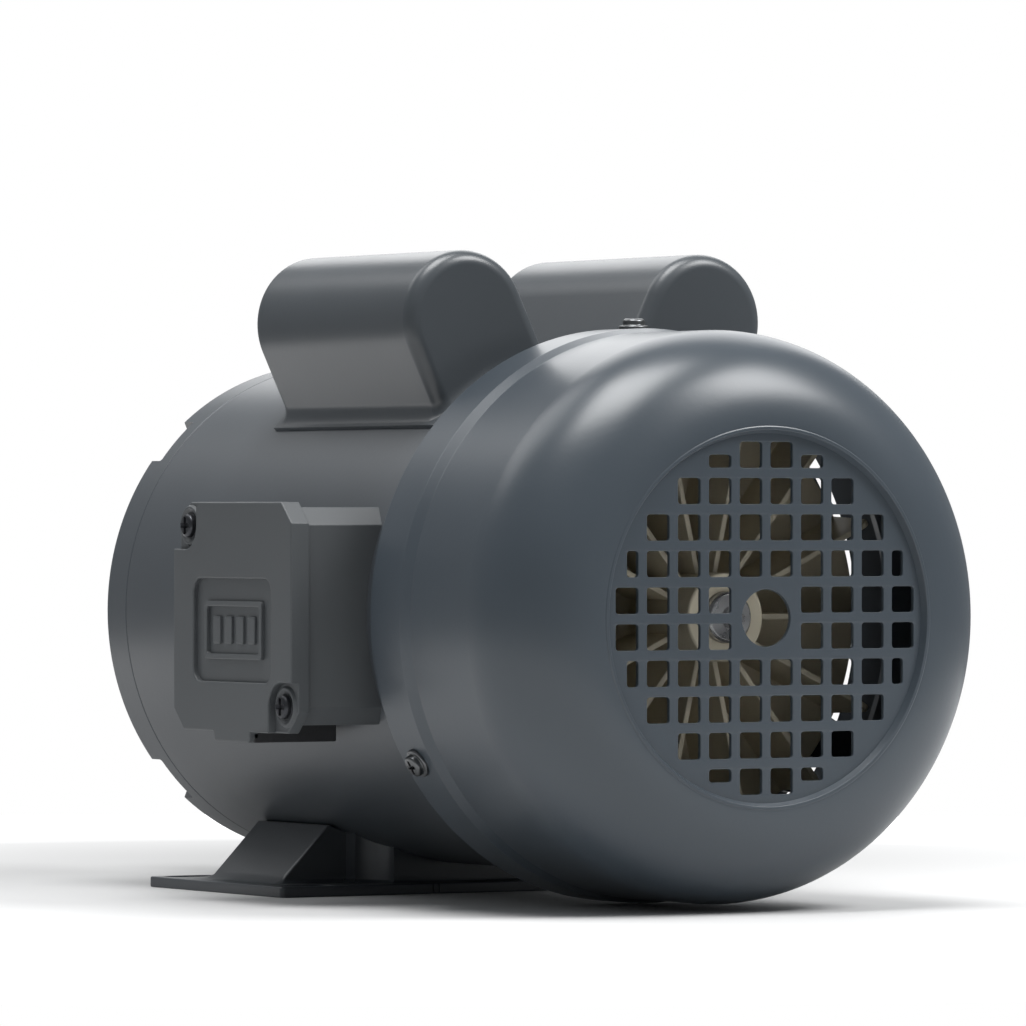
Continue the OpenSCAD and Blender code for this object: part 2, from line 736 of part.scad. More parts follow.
// Block under the box that takes the cable gland, with a collar through the box's wall
module entry_block() color(black) at_box() difference() {
    bottom = -tcover_h / 2 - tab_drop;
    box_z = -tcover_h / 2 + box_gap;
    union() {
        translate([box_x + 2.1, -tab_w / 2, bottom])
            cube([entry_x1 - box_x - 2.1, tab_w, box_z - seat - bottom]);
        translate([-tcover_x + tab_t + 0.1, -tab_w / 2, bottom]) cube([6, tab_w, tab_drop - 0.1]);
        translate([entry_x, 0, bottom + 1])
            cylinder(h = box_z + box_wall - bottom - 1, r = entry_collar_r, $fn = small_n);
    }
    translate([entry_x, 0, bottom - 1]) cylinder(h = 20, r = entry_r, $fn = small_n);
}

module terminal_gasket() color(black) difference() {
    at_box() along_x(box_x - 0.98, box_x - 0.02)
        chamfered_rect(tcover_w - 2 * box_gap - 0.4, tcover_h - 2 * box_gap - 0.4, box_chamfer);
    difference() {
        at_box() along_x(box_x - 2, box_x + 1)
            chamfered_rect(tcover_w - 2 * box_gap - 2 * box_wall, tcover_h - 2 * box_gap - 2 * box_wall,
                box_chamfer - 1.4);
        for (s = [-1, 1]) at_box() translate([0, s * tscrew_dy, s * tscrew_dz])
            rod_x(box_x - 3, box_x + 2, 4.6);
    }
    for (s = [-1, 1]) at_box() translate([0, s * tscrew_dy, s * tscrew_dz])
        rod_x(box_x - 3, box_x + 2, 1.9);
}

module terminal_cover() color(slate) difference() {
    union() {
        at_box() along_x(-tcover_x, -tcover_x + tskirt) chamfered_rect(tcover_w, tcover_h, tchamfer);
        at_box() translate([-tcover_x, -tab_w / 2, -tcover_h / 2 - tab_drop]) cube([tab_t, tab_w, 12]);
    }
    // Room for the rim of the box and its gasket
    at_box() along_x(-tcover_x + tcover_t, 0)
        chamfered_rect(tcover_w - 2 * box_gap + 0.6, tcover_h - 2 * box_gap + 0.6, 4.6);
    // Screw pockets, open towards their corners
    for (s = [-1, 1]) at_box() translate([-tcover_x - 1, s * tscrew_dy, s * tscrew_dz]) {
        rod_x(0, pocket_depth + 1, pocket_r);
        translate([0, s > 0 ? 0 : -20, s > 0 ? -pocket_r : -20])
            cube([pocket_depth + 1, 20, pocket_r + 20]);
        translate([0, s > 0 ? -pocket_r : -20, s > 0 ? 0 : -20])
            cube([pocket_depth + 1, pocket_r + 20, 20]);
        rod_x(0, 10, 1.9);
    }
    // Recessed panel with a plain raised frame
    difference() {
        at_box() translate([0, -panel_w / 2, panel_dz - panel_h / 2])
            along_x(-tcover_x - 1, -tcover_x + panel_depth) soft_rect(panel_w, panel_h, 4);
        difference() {
            at_box() translate([0, -18.3, panel_dz - 9])
                along_x(-tcover_x + 0.5, -tcover_x + 3) soft_rect(36.6, 18, 1.5);
            at_box() translate([0, -16.6, panel_dz - 7.3])
                along_x(-tcover_x, -tcover_x + 4) soft_rect(33.2, 14.6, 1);
        }
    }
}

module terminal_cover_screws() color(dark_steel)
    for (s = [-1, 1]) at_box() translate([-tcover_x + pocket_depth - seat, s * tscrew_dy, s * tscrew_dz])
        rotate([0, -90, 0]) pan_screw(3.9, 2.4, 1.65, 14);

module terminal_board() color(phenolic) difference() {
    at_box() translate([-90, -22, -15]) cube([3, 44, 30]);
    stud_places() rod_x(-95, -80, 2 + seat);
}

// Six studs in two rows
module stud_places() {
    at_box() for (dy = [-15, 0, 15], dz = [-8, 8]) translate([0, dy, dz]) children();
}

module terminal_studs() color(brass) {
    stud_places() rod_x(-98, -85.6, 2);
    at_box() for (dy = [-20, 20], dz = [-13, 13]) translate([0, dy, dz]) rod_x(-86.98, -82.85, 1.8);
}

module terminal_nuts() color(brass) stud_places() translate([-92.9, 0, 0]) rotate([0, 90, 0]) difference() {
    cylinder(h = 2.88, r = 3.9, $fn = 6);
    translate([0, 0, -1]) cylinder(h = 5, r = 2 + seat, $fn = small_n);
}

module terminal_links() color(brass) difference() {
    at_box() for (dy = [-15, 15]) translate([-93.92, dy - 3, -11]) cube([1, 6, 22]);
    stud_places() rod_x(-96, -92, 2.1);
}

module earth_screw() color([0.4, 0.5, 0.35]) at_box() translate([-82.9, -26, 14])
    rotate([0, -90, 0]) pan_screw(3.6, 2.4, 1.7, 2);

module box_screws() color(dark_steel) box_screw_places() translate([-3.55, 0, 0])
    rotate([0, -90, 0]) pan_screw(3.4, 2.2, 1.65, 7);

module lead_grommet() color(black) difference() {
    at_box() union() {
        rod_x(-85.2, -74, 9 - seat);
        rod_x(-85.4, -83.6, 10.6);
    }
    at_box() rod_x(-88, -70, 6.5);
}

module motor_leads() color([0.75, 0.2, 0.15]) at_box() for (dy = [-3, 3], dz = [-3, 3])
    translate([0, dy, dz]) rod_x(-86.9, -64.2, 1.4);

// Capacitors and their covers

// Leans the children to one side about the shaft axis, with +Z pointing outward
module leaned(side) {
    on_axis() rotate([0, side * cap_lean, 0]) children();
}

// Places of the four cover screws, with +Z pointing outward
module cap_screw_places() {
    for (side = [-1, 1], y = [cap_y0 - 6, cap_y1 + 6]) leaned(side) translate([0, y, 0]) children();
}

// A body with a round top and round end edges, drawn in by inset
module cap_form(inset) {
    r = cap_r - inset;
    round_r = cap_round - inset;
    length = cap_y1 - cap_y0 - 2 * inset;
    // Round top, turned about the capacitor's own axis
    translate([0, cap_y0 + inset, cap_w]) rotate([-90, 0, 0]) rotate_extrude($fn = round_n) {
        square([r - round_r, length]);
        translate([0, round_r]) square([r, length - 2 * round_r]);
        for (y = [round_r, length - round_r]) translate([r - round_r, y])
            circle(r = round_r, $fn = small_n);
    }
    // Straight sides down to the shell
    translate([-r, cap_y0 + inset, 60]) linear_extrude(cap_w - 60) soft_rect(2 * r, length, round_r);
}

module capacitor_cover(side) color(slate) difference() {
    union() {
        leaned(side) cap_form(0);
        intersection() {
            ring(cap_y0 - 20, cap_y1 + 20, saddle_r + flange_t, saddle_r - 4);
            leaned(side) union() {
                translate([-flange_half, cap_y0 - 1.5, 60])
                    cube([2 * flange_half, cap_y1 - cap_y0 + 3, 30]);
                translate([-8, cap_y0 - 11, 60]) cube([16, cap_y1 - cap_y0 + 22, 30]);
            }
        }
    }
    leaned(side) cap_form(cap_sheet);
    ring(cap_y0 - 30, cap_y1 + 30, saddle_r);
    cap_screw_places() translate([0, 0, 70]) cylinder(h = 20, r = 2.2, $fn = small_n);
}

module start_capacitor_cover() capacitor_cover(-1);
module run_capacitor_cover() capacitor_cover(1);

module capacitor_cover_screws() color(dark_steel) cap_screw_places()
    translate([0, 0, saddle_r + flange_t + seat]) pan_screw(4, 2.4, 1.65, 3.5);

module capacitor(side, tint) color(tint) leaned(side) translate([0, 0, cap_w - 1]) {
    rod_y(can_y0, can_y1, can_r);
    rod_y(can_y1 - 0.01, can_y1 + 2, can_r - 1.5);
}

module start_capacitor() capacitor(-1, black);
module run_capacitor() capacitor(1, [0.75, 0.76, 0.78]);

module capacitor_terminals() color(brass) for (side = [-1, 1], dx = [-6, 6])
    leaned(side) translate([dx - 3, can_y1 + 2.02, cap_w - 1.4]) cube([6, 5.5, 0.8]);

module capacitor_pads() color(black) for (side = [-1, 1], y = [-88, -34], t = [-9.5, 6.5])
    leaned(side) translate([t, y, saddle_r]) cube([3, 12, 3.4]);

stator_shell();
base_plate();
base_cradle();
stator_core();
run_winding();
start_winding();
slot_wedges();
drive_endshield();
fan_endshield();
through_bolts();
bolt_nuts();
drive_bearing_outer();
drive_bearing_inner();
drive_bearing_balls();
drive_bearing_shields();
drive_bearing_circlip();
fan_bearing_outer();
fan_bearing_inner();
fan_bearing_balls();
fan_bearing_shields();
wave_washer();
fan_cover();
fan_cover_screws();
fan();
fan_clip();
shaft();
shaft_slinger();
rotor_core();
rotor_cage();
governor_carrier();
governor_pins();
governor_spool();
governor_spring();
flyweight_a();
flyweight_b();
switch_plate();
switch_plate_screws();
switch_contacts();
switch_arm();
terminal_box();
entry_block();
terminal_gasket();
terminal_cover();
terminal_cover_screws();
terminal_board();
terminal_studs();
terminal_nuts();
terminal_links();
earth_screw();
box_screws();
lead_grommet();
motor_leads();
start_capacitor();
run_capacitor();
capacitor_terminals();
capacitor_pads();
start_capacitor_cover();
run_capacitor_cover();
capacitor_cover_screws();
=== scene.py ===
import json
import math

import bmesh
import bpy
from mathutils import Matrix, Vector
from mathutils.geometry import tessellate_polygon


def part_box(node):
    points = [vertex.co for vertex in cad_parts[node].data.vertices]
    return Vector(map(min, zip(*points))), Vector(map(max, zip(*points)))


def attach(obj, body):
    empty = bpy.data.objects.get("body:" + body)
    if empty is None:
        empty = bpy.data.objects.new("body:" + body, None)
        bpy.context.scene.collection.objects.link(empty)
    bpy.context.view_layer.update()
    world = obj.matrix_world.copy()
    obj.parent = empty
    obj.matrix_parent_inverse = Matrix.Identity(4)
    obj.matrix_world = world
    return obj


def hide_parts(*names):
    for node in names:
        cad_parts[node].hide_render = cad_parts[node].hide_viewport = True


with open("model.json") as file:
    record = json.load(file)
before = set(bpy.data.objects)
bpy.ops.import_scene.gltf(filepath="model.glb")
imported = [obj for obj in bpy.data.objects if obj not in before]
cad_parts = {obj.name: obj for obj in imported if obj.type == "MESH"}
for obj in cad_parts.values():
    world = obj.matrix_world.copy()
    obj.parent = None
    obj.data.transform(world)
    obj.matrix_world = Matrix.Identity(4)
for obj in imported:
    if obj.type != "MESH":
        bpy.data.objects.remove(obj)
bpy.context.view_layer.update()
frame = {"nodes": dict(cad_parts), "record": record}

# Lengths are in millimetres in the row frame until a mesh is made.
MM = 0.001
ROUND = 192  # segments round the shaft axis
FINE = 48  # segments round a small part
X, Y, Z = Vector((1, 0, 0)), Vector((0, 1, 0)), Vector((0, 0, 1))


# ---------------------------------------------------------------- places taken from the frame

def box_mm(node):
    """Lowest and highest corner of a CAD node, in millimetres."""
    low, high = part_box(node)
    return low / MM, high / MM


SHELL_LOW, SHELL_HIGH = box_mm("stator_shell")
AXIS_Z = (SHELL_LOW.z + SHELL_HIGH.z) / 2
SHELL_R = (SHELL_HIGH.z - SHELL_LOW.z) / 2
SHELL_SHEET = 2.5
FIT = 0.02  # play between parts that are fitted together
SEAT_R = 20.0 + FIT  # bore of a bearing seat
SPIGOT_R, SPIGOT_INNER_R, SPIGOT_L = 77.4, 75.4, 6.0  # ring of an endshield that enters the shell


def basis(origin, u, v, w):
    """A place: turns local u, v, w into a point of the row frame."""
    origin = Vector(origin)
    return lambda a, b, c: origin + u * a + v * b + w * c


def about_axis(y=0.0):
    """Local w runs along the shaft, u and v across it."""
    return basis((0, y, AXIS_Z), X, Z, Y)


def outward(angle, y, start=0.0):
    """Local w points away from the shaft axis at an angle in degrees above +X, and v along the shaft."""
    a = math.radians(angle)
    out = Vector((math.cos(a), 0, math.sin(a)))
    return basis(Vector((0, y, AXIS_Z)) + out * start, Y.cross(out), Y, out)


def along_shaft(angle, radius, y=0.0):
    """Local w runs along the shaft, from a point at an angle and a radius. u runs across and v outward."""
    out = outward(angle, y, radius)
    return lambda a, b, c: out(a, c, b)


def radial(angle):
    """Local u runs outward from the shaft axis at an angle in degrees, v along the shaft and w across."""
    a = math.radians(angle)
    out, side = Vector((math.cos(a), 0, math.sin(a))), Vector((-math.sin(a), 0, math.cos(a)))
    return basis((0, 0, AXIS_Z), out, Y, side)


# ---------------------------------------------------------------- outlines

def rounded(corners, closed=True, step=10.0):
    """Corners as (u, v) or (u, v, radius), with each radius turned into an arc."""
    points, count = [], len(corners)
    for i, corner in enumerate(corners):
        here = Vector(corner[:2])
        radius = corner[2] if len(corner) > 2 else 0
        if radius <= 0 or (not closed and i in (0, count - 1)):
            points.append(tuple(here))
            continue
        before = Vector(corners[i - 1][:2]) - here
        after = Vector(corners[(i + 1) % count][:2]) - here
        room = 0.49 * min(before.length, after.length)
        before.normalize()
        after.normalize()
        turn = math.pi - before.angle(after)
        if turn < 0.02:
            points.append(tuple(here))
            continue
        reach = min(radius * math.tan(turn / 2), room)
        radius = reach / math.tan(turn / 2)
        centre = here + (before + after).normalized() * (radius / math.cos(turn / 2))
        first, last = here + before * reach - centre, here + after * reach - centre
        steps = max(2, math.ceil(math.degrees(turn) / step))
        for k in range(steps + 1):
            t = k / steps
            part = first * math.sin((1 - t) * turn) + last * math.sin(t * turn)
            points.append(tuple(centre + part / math.sin(turn)))
    return points


def arc(u, v, radius, start, end, steps):
    """Points on a circle from one angle to another, in degrees."""
    angles = [math.radians(start + (end - start) * k / steps) for k in range(steps + 1)]
    return [(u + radius * math.cos(a), v + radius * math.sin(a)) for a in angles]


def circle(u, v, radius, steps=FINE):
    """A closed loop of points on a circle."""
    return arc(u, v, radius, 0, 360 - 360 / steps, steps - 1)


def soft_box(u0, v0, u1, v1, radius):
    """A rectangle with rounded corners."""
    return rounded([(u0, v0, radius), (u1, v0, radius), (u1, v1, radius), (u0, v1, radius)], step=15)


def area(loop):
    """Signed area of a loop, positive if it runs counter-clockwise."""
    return sum(a[0] * b[1] - b[0] * a[1] for a, b in zip(loop, loop[1:] + loop[:1])) / 2


def moved_in(loop, distance):
    """A counter-clockwise loop moved inward by a distance."""
    if not distance:
        return list(loop)
    result = []
    for i, here in enumerate(loop):
        before, after = Vector(loop[i - 1]), Vector(loop[(i + 1) % len(loop)])
        here = Vector(here)
        e1, e2 = (here - before).normalized(), (after - here).normalized()
        n1, n2 = Vector((-e1.y, e1.x)), Vector((-e2.y, e2.x))
        result.append(tuple(here + (n1 + n2) * (distance / max(0.4, 1 + n1.dot(n2)))))
    return result


# ---------------------------------------------------------------- meshes

class Shape:
    """Points and faces of one piece, collected in millimetres."""

    def __init__(self):
        self.points, self.faces = [], []

    def add(self, points, faces):
        """More points, and faces that count them from 0."""
        base = len(self.points)
        self.points += [Vector(p) for p in points]
        self.faces += [tuple(base + i for i in face) for face in faces]
        return self

    def grid(self, rows, wrap_rows=False, wrap_columns=False):
        """Quads between neighbouring points of a table of points."""
        height, width = len(rows), len(rows[0])
        faces = []
        for i in range(height - (not wrap_rows)):
            for j in range(width - (not wrap_columns)):
                i1, j1 = (i + 1) % height, (j + 1) % width
                faces.append((i * width + j, i * width + j1, i1 * width + j1, i1 * width + j))
        return self.add([p for row in rows for p in row], faces)

    def turned(self, profile, place, closed=True, steps=ROUND):
        """A profile of (radius, w) turned about the place's w axis."""
        angles = [2 * math.pi * k / steps for k in range(steps)]
        rows = [[place(r * math.cos(a), r * math.sin(a), w) for a in angles] for r, w in profile]
        return self.grid(rows, wrap_rows=closed, wrap_columns=True)

    def flat(self, loops, place, w):
        """A flat face between the first loop and the loops inside it."""
        flat_loops = [[Vector((u, v, 0)) for u, v in loop] for loop in loops]
        points = [place(p.x, p.y, w) for loop in flat_loops for p in loop]
        return self.add(points, tessellate_polygon(flat_loops))

    def slab(self, outline, place, w0, w1, holes=(), front=0.0, back=0.0, steps=3):
        """A plate between w0 and w1 with holes, its front and back edges rounded."""
        loops = [(loop if area(loop) > 0 else loop[::-1]) for loop in (outline, *holes)]
        rows = []
        for k in range(steps + 1 if front else 1):
            a = math.pi / 2 * k / steps if front else math.pi / 2
            rows.append((front * (1 - math.sin(a)), w1 - front * (1 - math.cos(a))))
        for k in range(steps + 1 if back else 1):
            a = math.pi / 2 * (1 - k / steps) if back else math.pi / 2
            rows.append((back * (1 - math.sin(a)), w0 + back * (1 - math.cos(a))))
        for n, loop in enumerate(loops):
            side = 1 if n == 0 else -1
            self.grid([[place(u, v, w) for u, v in moved_in(loop, side * inset)] for inset, w in rows],
                      wrap_columns=True)
        for inset, w in (rows[0], rows[-1]):
            ends = [moved_in(loop, inset if n == 0 else -inset) for n, loop in enumerate(loops)]
            self.flat(ends, place, w)
        return self

    def hexagon(self, place, half_width, w0, w1):
        """A hexagonal head or nut blank with its top corners turned off."""
        top_r = half_width * 0.97
        rows = [[], [], [], []]
        for k in range(FINE):
            a = 2 * math.pi * k / FINE
            reach = half_width / math.cos((a % (math.pi / 3)) - math.pi / 6)
            low = w1 - max(0.0, reach - top_r) * 0.58
            for row, (r, w) in zip(rows, ((reach, w0), (reach, low), (min(reach, top_r), w1), (0, w1))):
                row.append(place(r * math.cos(a), r * math.sin(a), w))
        self.grid(rows, wrap_columns=True)
        return self.grid([rows[0], [place(0, 0, w0)] * FINE], wrap_columns=True)


def new_object(name, shape):
    """A closed, clean mesh object from a shape, in metres."""
    mesh = bpy.data.meshes.new(name)
    mesh.from_pydata([tuple(p * MM) for p in shape.points], [], shape.faces)
    work = bmesh.new()
    work.from_mesh(mesh)
    bmesh.ops.remove_doubles(work, verts=work.verts, dist=2e-6)
    bmesh.ops.dissolve_degenerate(work, edges=work.edges, dist=1e-7)
    bmesh.ops.recalc_face_normals(work, faces=work.faces)
    work.to_mesh(mesh)
    work.free()
    obj = bpy.data.objects.new(name, mesh)
    bpy.context.scene.collection.objects.link(obj)
    return obj


def applied(obj):
    """The object's modifiers made part of its mesh."""
    bpy.context.view_layer.update()
    graph = bpy.context.evaluated_depsgraph_get()
    mesh = bpy.data.meshes.new_from_object(obj.evaluated_get(graph))
    obj.modifiers.clear()
    obj.data = mesh
    return obj


def cut(obj, cutter_shape):
    """The object with a shape taken out of it."""
    cutter = new_object("cutter", cutter_shape)
    change = obj.modifiers.new("cut", "BOOLEAN")
    change.operation = "DIFFERENCE"
    change.solver = "EXACT"
    change.object = cutter
    applied(obj)
    bpy.data.objects.remove(cutter)
    return obj


record = frame["record"]
BODY_OF = {node: body for body, nodes in record["behaviour"]["bodies"].items() for node in nodes}
SLOT_OF = {part["node"]: part["material_slot"] for part in record["subparts"]}


def piece(obj, nodes, material=None, smooth=35.0):
    """Finishes a piece that stands for CAD nodes: its shading, the material of its record slot, and its
    body.
    """
    if isinstance(obj, Shape):
        obj = new_object("v_" + nodes[0], obj)
    obj.data.shade_smooth()
    obj.data.set_sharp_from_angle(angle=math.radians(smooth))
    even = obj.modifiers.new("even_shading", "WEIGHTED_NORMAL")
    even.keep_sharp = True
    slot = SLOT_OF[nodes[0]]
    obj.data.materials.clear()
    obj.data.materials.append(material or MATERIALS[slot])
    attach(obj, BODY_OF[nodes[0]])
    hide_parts(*nodes)
    return obj


# ---------------------------------------------------------------- materials

class Finish:
    """One procedural material, built on the Principled shader in the piece's own metres."""

    def __init__(self, name, colour, metallic=0.0, specular=0.5, coat=0.0, coat_roughness=0.3):
        self.material = bpy.data.materials.new(name)
        self.material.use_nodes = True
        self.nodes = self.material.node_tree.nodes
        self.links = self.material.node_tree.links
        self.shader = self.nodes["Principled BSDF"]
        self.colour = colour
        self.shader.inputs["Metallic"].default_value = metallic
        self.shader.inputs["Specular IOR Level"].default_value = specular
        self.shader.inputs["Coat Weight"].default_value = coat
        self.shader.inputs["Coat Roughness"].default_value = coat_roughness
        self.where = self.nodes.new("ShaderNodeTexCoord").outputs["Object"]
        self.height = None

    def stretched(self, scale):
        """The piece's coordinates, scaled along each axis."""
        node = self.nodes.new("ShaderNodeMapping")
        node.inputs["Scale"].default_value = scale
        self.links.new(self.where, node.inputs["Vector"])
        return node.outputs["Vector"]

    def noise(self, scale, detail=3.0, stretch=None):
        """Noise with this many features to the metre, drawn out along an axis if asked."""
        node = self.nodes.new("ShaderNodeTexNoise")
        node.inputs["Scale"].default_value = scale
        node.inputs["Detail"].default_value = detail
        self.links.new(self.stretched(stretch) if stretch else self.where, node.inputs["Vector"])
        return node.outputs["Fac"]

    def bands(self, scale, direction, distortion=0.0):
        """Waves across a direction."""
        node = self.nodes.new("ShaderNodeTexWave")
        node.wave_type = "BANDS"
        node.bands_direction = direction
        node.inputs["Scale"].default_value = scale
        node.inputs["Distortion"].default_value = distortion
        self.links.new(self.where, node.inputs["Vector"])
        return node.outputs["Fac"]

    def mapped(self, value, low, high, from_low=0.3, from_high=0.7):
        """A value that runs from low to high while the given one crosses its own range."""
        node = self.nodes.new("ShaderNodeMapRange")
        names = ("From Min", "From Max", "To Min", "To Max")
        for name, number in zip(names, (from_low, from_high, low, high)):
            node.inputs[name].default_value = number
        self.links.new(value, node.inputs["Value"])
        return node.outputs["Result"]

    def tint(self, value, low, high):
        """The base colour, darker and lighter by these factors as the value goes from low to high."""
        node = self.nodes.new("ShaderNodeMix")
        node.data_type = "RGBA"
        self.links.new(self.mapped(value, 0, 1), node.inputs["Factor"])
        for socket, factor in ((6, low), (7, high)):
            node.inputs[socket].default_value = (*[c * factor for c in self.colour], 1)
        self.links.new(node.outputs[2], self.shader.inputs["Base Color"])
        return self

    def rough(self, value, low, high):
        """The roughness, which follows the value from low to high."""
        self.links.new(self.mapped(value, low, high), self.shader.inputs["Roughness"])
        return self

    def bump(self, value, distance, strength=1.0):
        """A relief of this depth in metres, on top of the relief already there."""
        node = self.nodes.new("ShaderNodeBump")
        node.inputs["Strength"].default_value = strength
        node.inputs["Distance"].default_value = distance
        self.links.new(value, node.inputs["Height"])
        if self.height:
            self.links.new(self.height, node.inputs["Normal"])
        self.height = node.outputs["Normal"]
        return self

    def done(self):
        """The finished material."""
        if self.height:
            self.links.new(self.height, self.shader.inputs["Normal"])
        return self.material


def paint(name, colour, low=0.34, high=0.44):
    """Satin enamel over sheet steel: a faint orange peel, dust nibs and slow changes of gloss."""
    f = Finish(name, colour, specular=0.5, coat=0.12, coat_roughness=0.35)
    slow, peel, nibs = f.noise(14, 4), f.noise(620, 2), f.noise(2600, 3)
    f.tint(slow, 0.93, 1.07).rough(slow, low, high)
    return f.bump(peel, 0.00005, 0.35).bump(nibs, 0.00002, 0.25).done()


def machined(name, colour, low=0.22, high=0.38, stretch=(8, 260, 8), metallic=1.0):
    """Turned or drawn steel with fine tool marks across the stretch."""
    f = Finish(name, colour, metallic=metallic)
    marks, patch = f.noise(26, 5, stretch), f.noise(60, 4)
    f.tint(patch, 0.82, 1.1).rough(marks, low, high)
    return f.bump(marks, 0.00002, 0.4).done()


def plastic(name, colour, low=0.42, high=0.6, grain=1500, depth=0.00003):
    """Moulded plastic or rubber with a fine grain."""
    f = Finish(name, colour)
    slow, fine = f.noise(30, 4), f.noise(grain, 3)
    f.tint(slow, 0.86, 1.12).rough(fine, low, high)
    return f.bump(fine, depth, 0.5).done()


def wound(name, colour):
    """Enamelled wire laid in a bundle."""
    f = Finish(name, colour, metallic=0.6, coat=0.5, coat_roughness=0.12)
    strands = f.bands(520, "Y", distortion=3.0)
    f.tint(strands, 0.6, 1.15).rough(f.noise(90), 0.2, 0.34)
    return f.bump(strands, 0.0005, 0.6).done()


def laminated(name, colour):
    """Stacked sheets of core steel, edge on."""
    f = Finish(name, colour, metallic=0.9)
    sheets = f.bands(320, "Y")
    f.tint(sheets, 0.7, 1.05).rough(f.noise(150), 0.35, 0.5)
    return f.bump(sheets, 0.0002, 0.5).done()


def cast(name, colour):
    """Die-cast aluminium."""
    f = Finish(name, colour, metallic=0.95)
    skin = f.noise(420, 5)
    f.tint(f.noise(40), 0.85, 1.08).rough(skin, 0.34, 0.5)
    return f.bump(skin, 0.00008, 0.5).done()


SLATE = (0.056, 0.064, 0.073)
MATERIALS = {
    "shell_paint": paint("shell_paint", SLATE),
    "base_paint": paint("base_paint", (0.045, 0.051, 0.058)),
    "cover_paint": paint("cover_paint", (0.044, 0.056, 0.069), 0.3, 0.38),
    "box_paint": paint("box_paint", (0.064, 0.07, 0.075), 0.46, 0.58),
    "capacitor_cover_paint": paint("capacitor_cover_paint", (0.055, 0.063, 0.071), 0.3, 0.38),
    "core_steel": laminated("core_steel", (0.45, 0.46, 0.48)),
    "copper_wire": wound("copper_wire", (0.55, 0.24, 0.1)),
    "phenolic": plastic("phenolic", (0.25, 0.12, 0.06)),
    "dark_steel": machined("dark_steel", (0.12, 0.12, 0.13), 0.3, 0.45, (60, 60, 60)),
    "bearing_steel": machined("bearing_steel", (0.55, 0.56, 0.58), 0.1, 0.2),
    "shaft_steel": machined("shaft_steel", (0.56, 0.56, 0.57)),
    "brass": machined("brass", (0.6, 0.43, 0.16), 0.25, 0.4, (60, 60, 60)),
    "earth_green": paint("earth_green", (0.08, 0.25, 0.1)),
    "cast_aluminium": cast("cast_aluminium", (0.6, 0.61, 0.62)),
    "fan_plastic": plastic("fan_plastic", (0.68, 0.62, 0.48), 0.45, 0.6, 900),
    "black_rubber": plastic("black_rubber", (0.018, 0.018, 0.02), 0.6, 0.8, 1200),
    "black_plastic": plastic("black_plastic", (0.02, 0.02, 0.022)),
    "lead_insulation": plastic("lead_insulation", (0.45, 0.06, 0.04), 0.25, 0.35, 2000, 0.00001),
}
zinc = machined("zinc_screw", (0.16, 0.165, 0.17), 0.26, 0.4, (60, 60, 60))
black_screw = machined("black_screw", (0.05, 0.052, 0.058), 0.3, 0.42, (60, 60, 60), 0.8)

for node, obj in frame["nodes"].items():
    obj.data.materials.clear()
    obj.data.materials.append(MATERIALS[SLOT_OF[node]])


# ---------------------------------------------------------------- screws

def cross_hole(size):
    """Outline of a cross recess."""
    arm, half = size / 2, size * 0.13
    corners = [(arm, -half), (arm, half), (half, half), (half, arm), (-half, arm), (-half, half),
               (-arm, half), (-arm, -half), (-half, -half), (-half, -arm), (half, -arm), (half, -half)]
    return rounded([(u, v, 0.15) for u, v in corners], step=45)


def cross_screw(shape, place, flange_r, head_r, height, flange_h=0.9, size=None):
    """A round-topped head on a thin flange, with a cross recess, standing on w = 0."""
    top_r, depth = head_r * 0.74, height * 0.5
    side = rounded([(0, -0.3), (flange_r, -0.3, 0.1), (flange_r, flange_h, flange_h * 0.6),
                    (head_r, flange_h + 0.1, 0.3), (head_r, height - 0.5, 1.1), (top_r, height, 0.5)],
                   closed=False)
    shape.turned(side, place, closed=False, steps=FINE)
    recess = cross_hole(size or top_r * 1.75)
    shape.flat([circle(0, 0, top_r), recess], place, height)
    shape.grid([[place(u, v, height) for u, v in recess],
                [place(u * 0.8, v * 0.8, height - depth) for u, v in recess]], wrap_columns=True)
    shape.flat([[(u * 0.8, v * 0.8) for u, v in recess]], place, height - depth)
    return shape


# ---------------------------------------------------------------- shell

def stator_shell():
    """A tube of rolled sheet with softened edges."""
    edge = 0.45
    return Shape().turned(rounded([
        (SHELL_R - SHELL_SHEET, SHELL_LOW.y, 0.3), (SHELL_R, SHELL_LOW.y, edge),
        (SHELL_R, SHELL_HIGH.y, edge), (SHELL_R - SHELL_SHEET, SHELL_HIGH.y, 0.3)]), about_axis())


piece(stator_shell(), ["stator_shell"])


# ---------------------------------------------------------------- endshields and through bolts

COVER_SCREW_ANGLES = (90, 210, 330)
BOLT_ANGLES = (43.5, 136.5, 223.5, 316.5)
BOLT_RING_R = 72.5
SHIELD_HIGH = box_mm("drive_endshield")[1]
BOLT_LOW, BOLT_HIGH = box_mm("through_bolts")
NOTCH_Y = BOLT_HIGH.y - 3.5
NOTCH_R, NOTCH_W = 67.0, 17.5
HUB_OUTER_R = 27.0


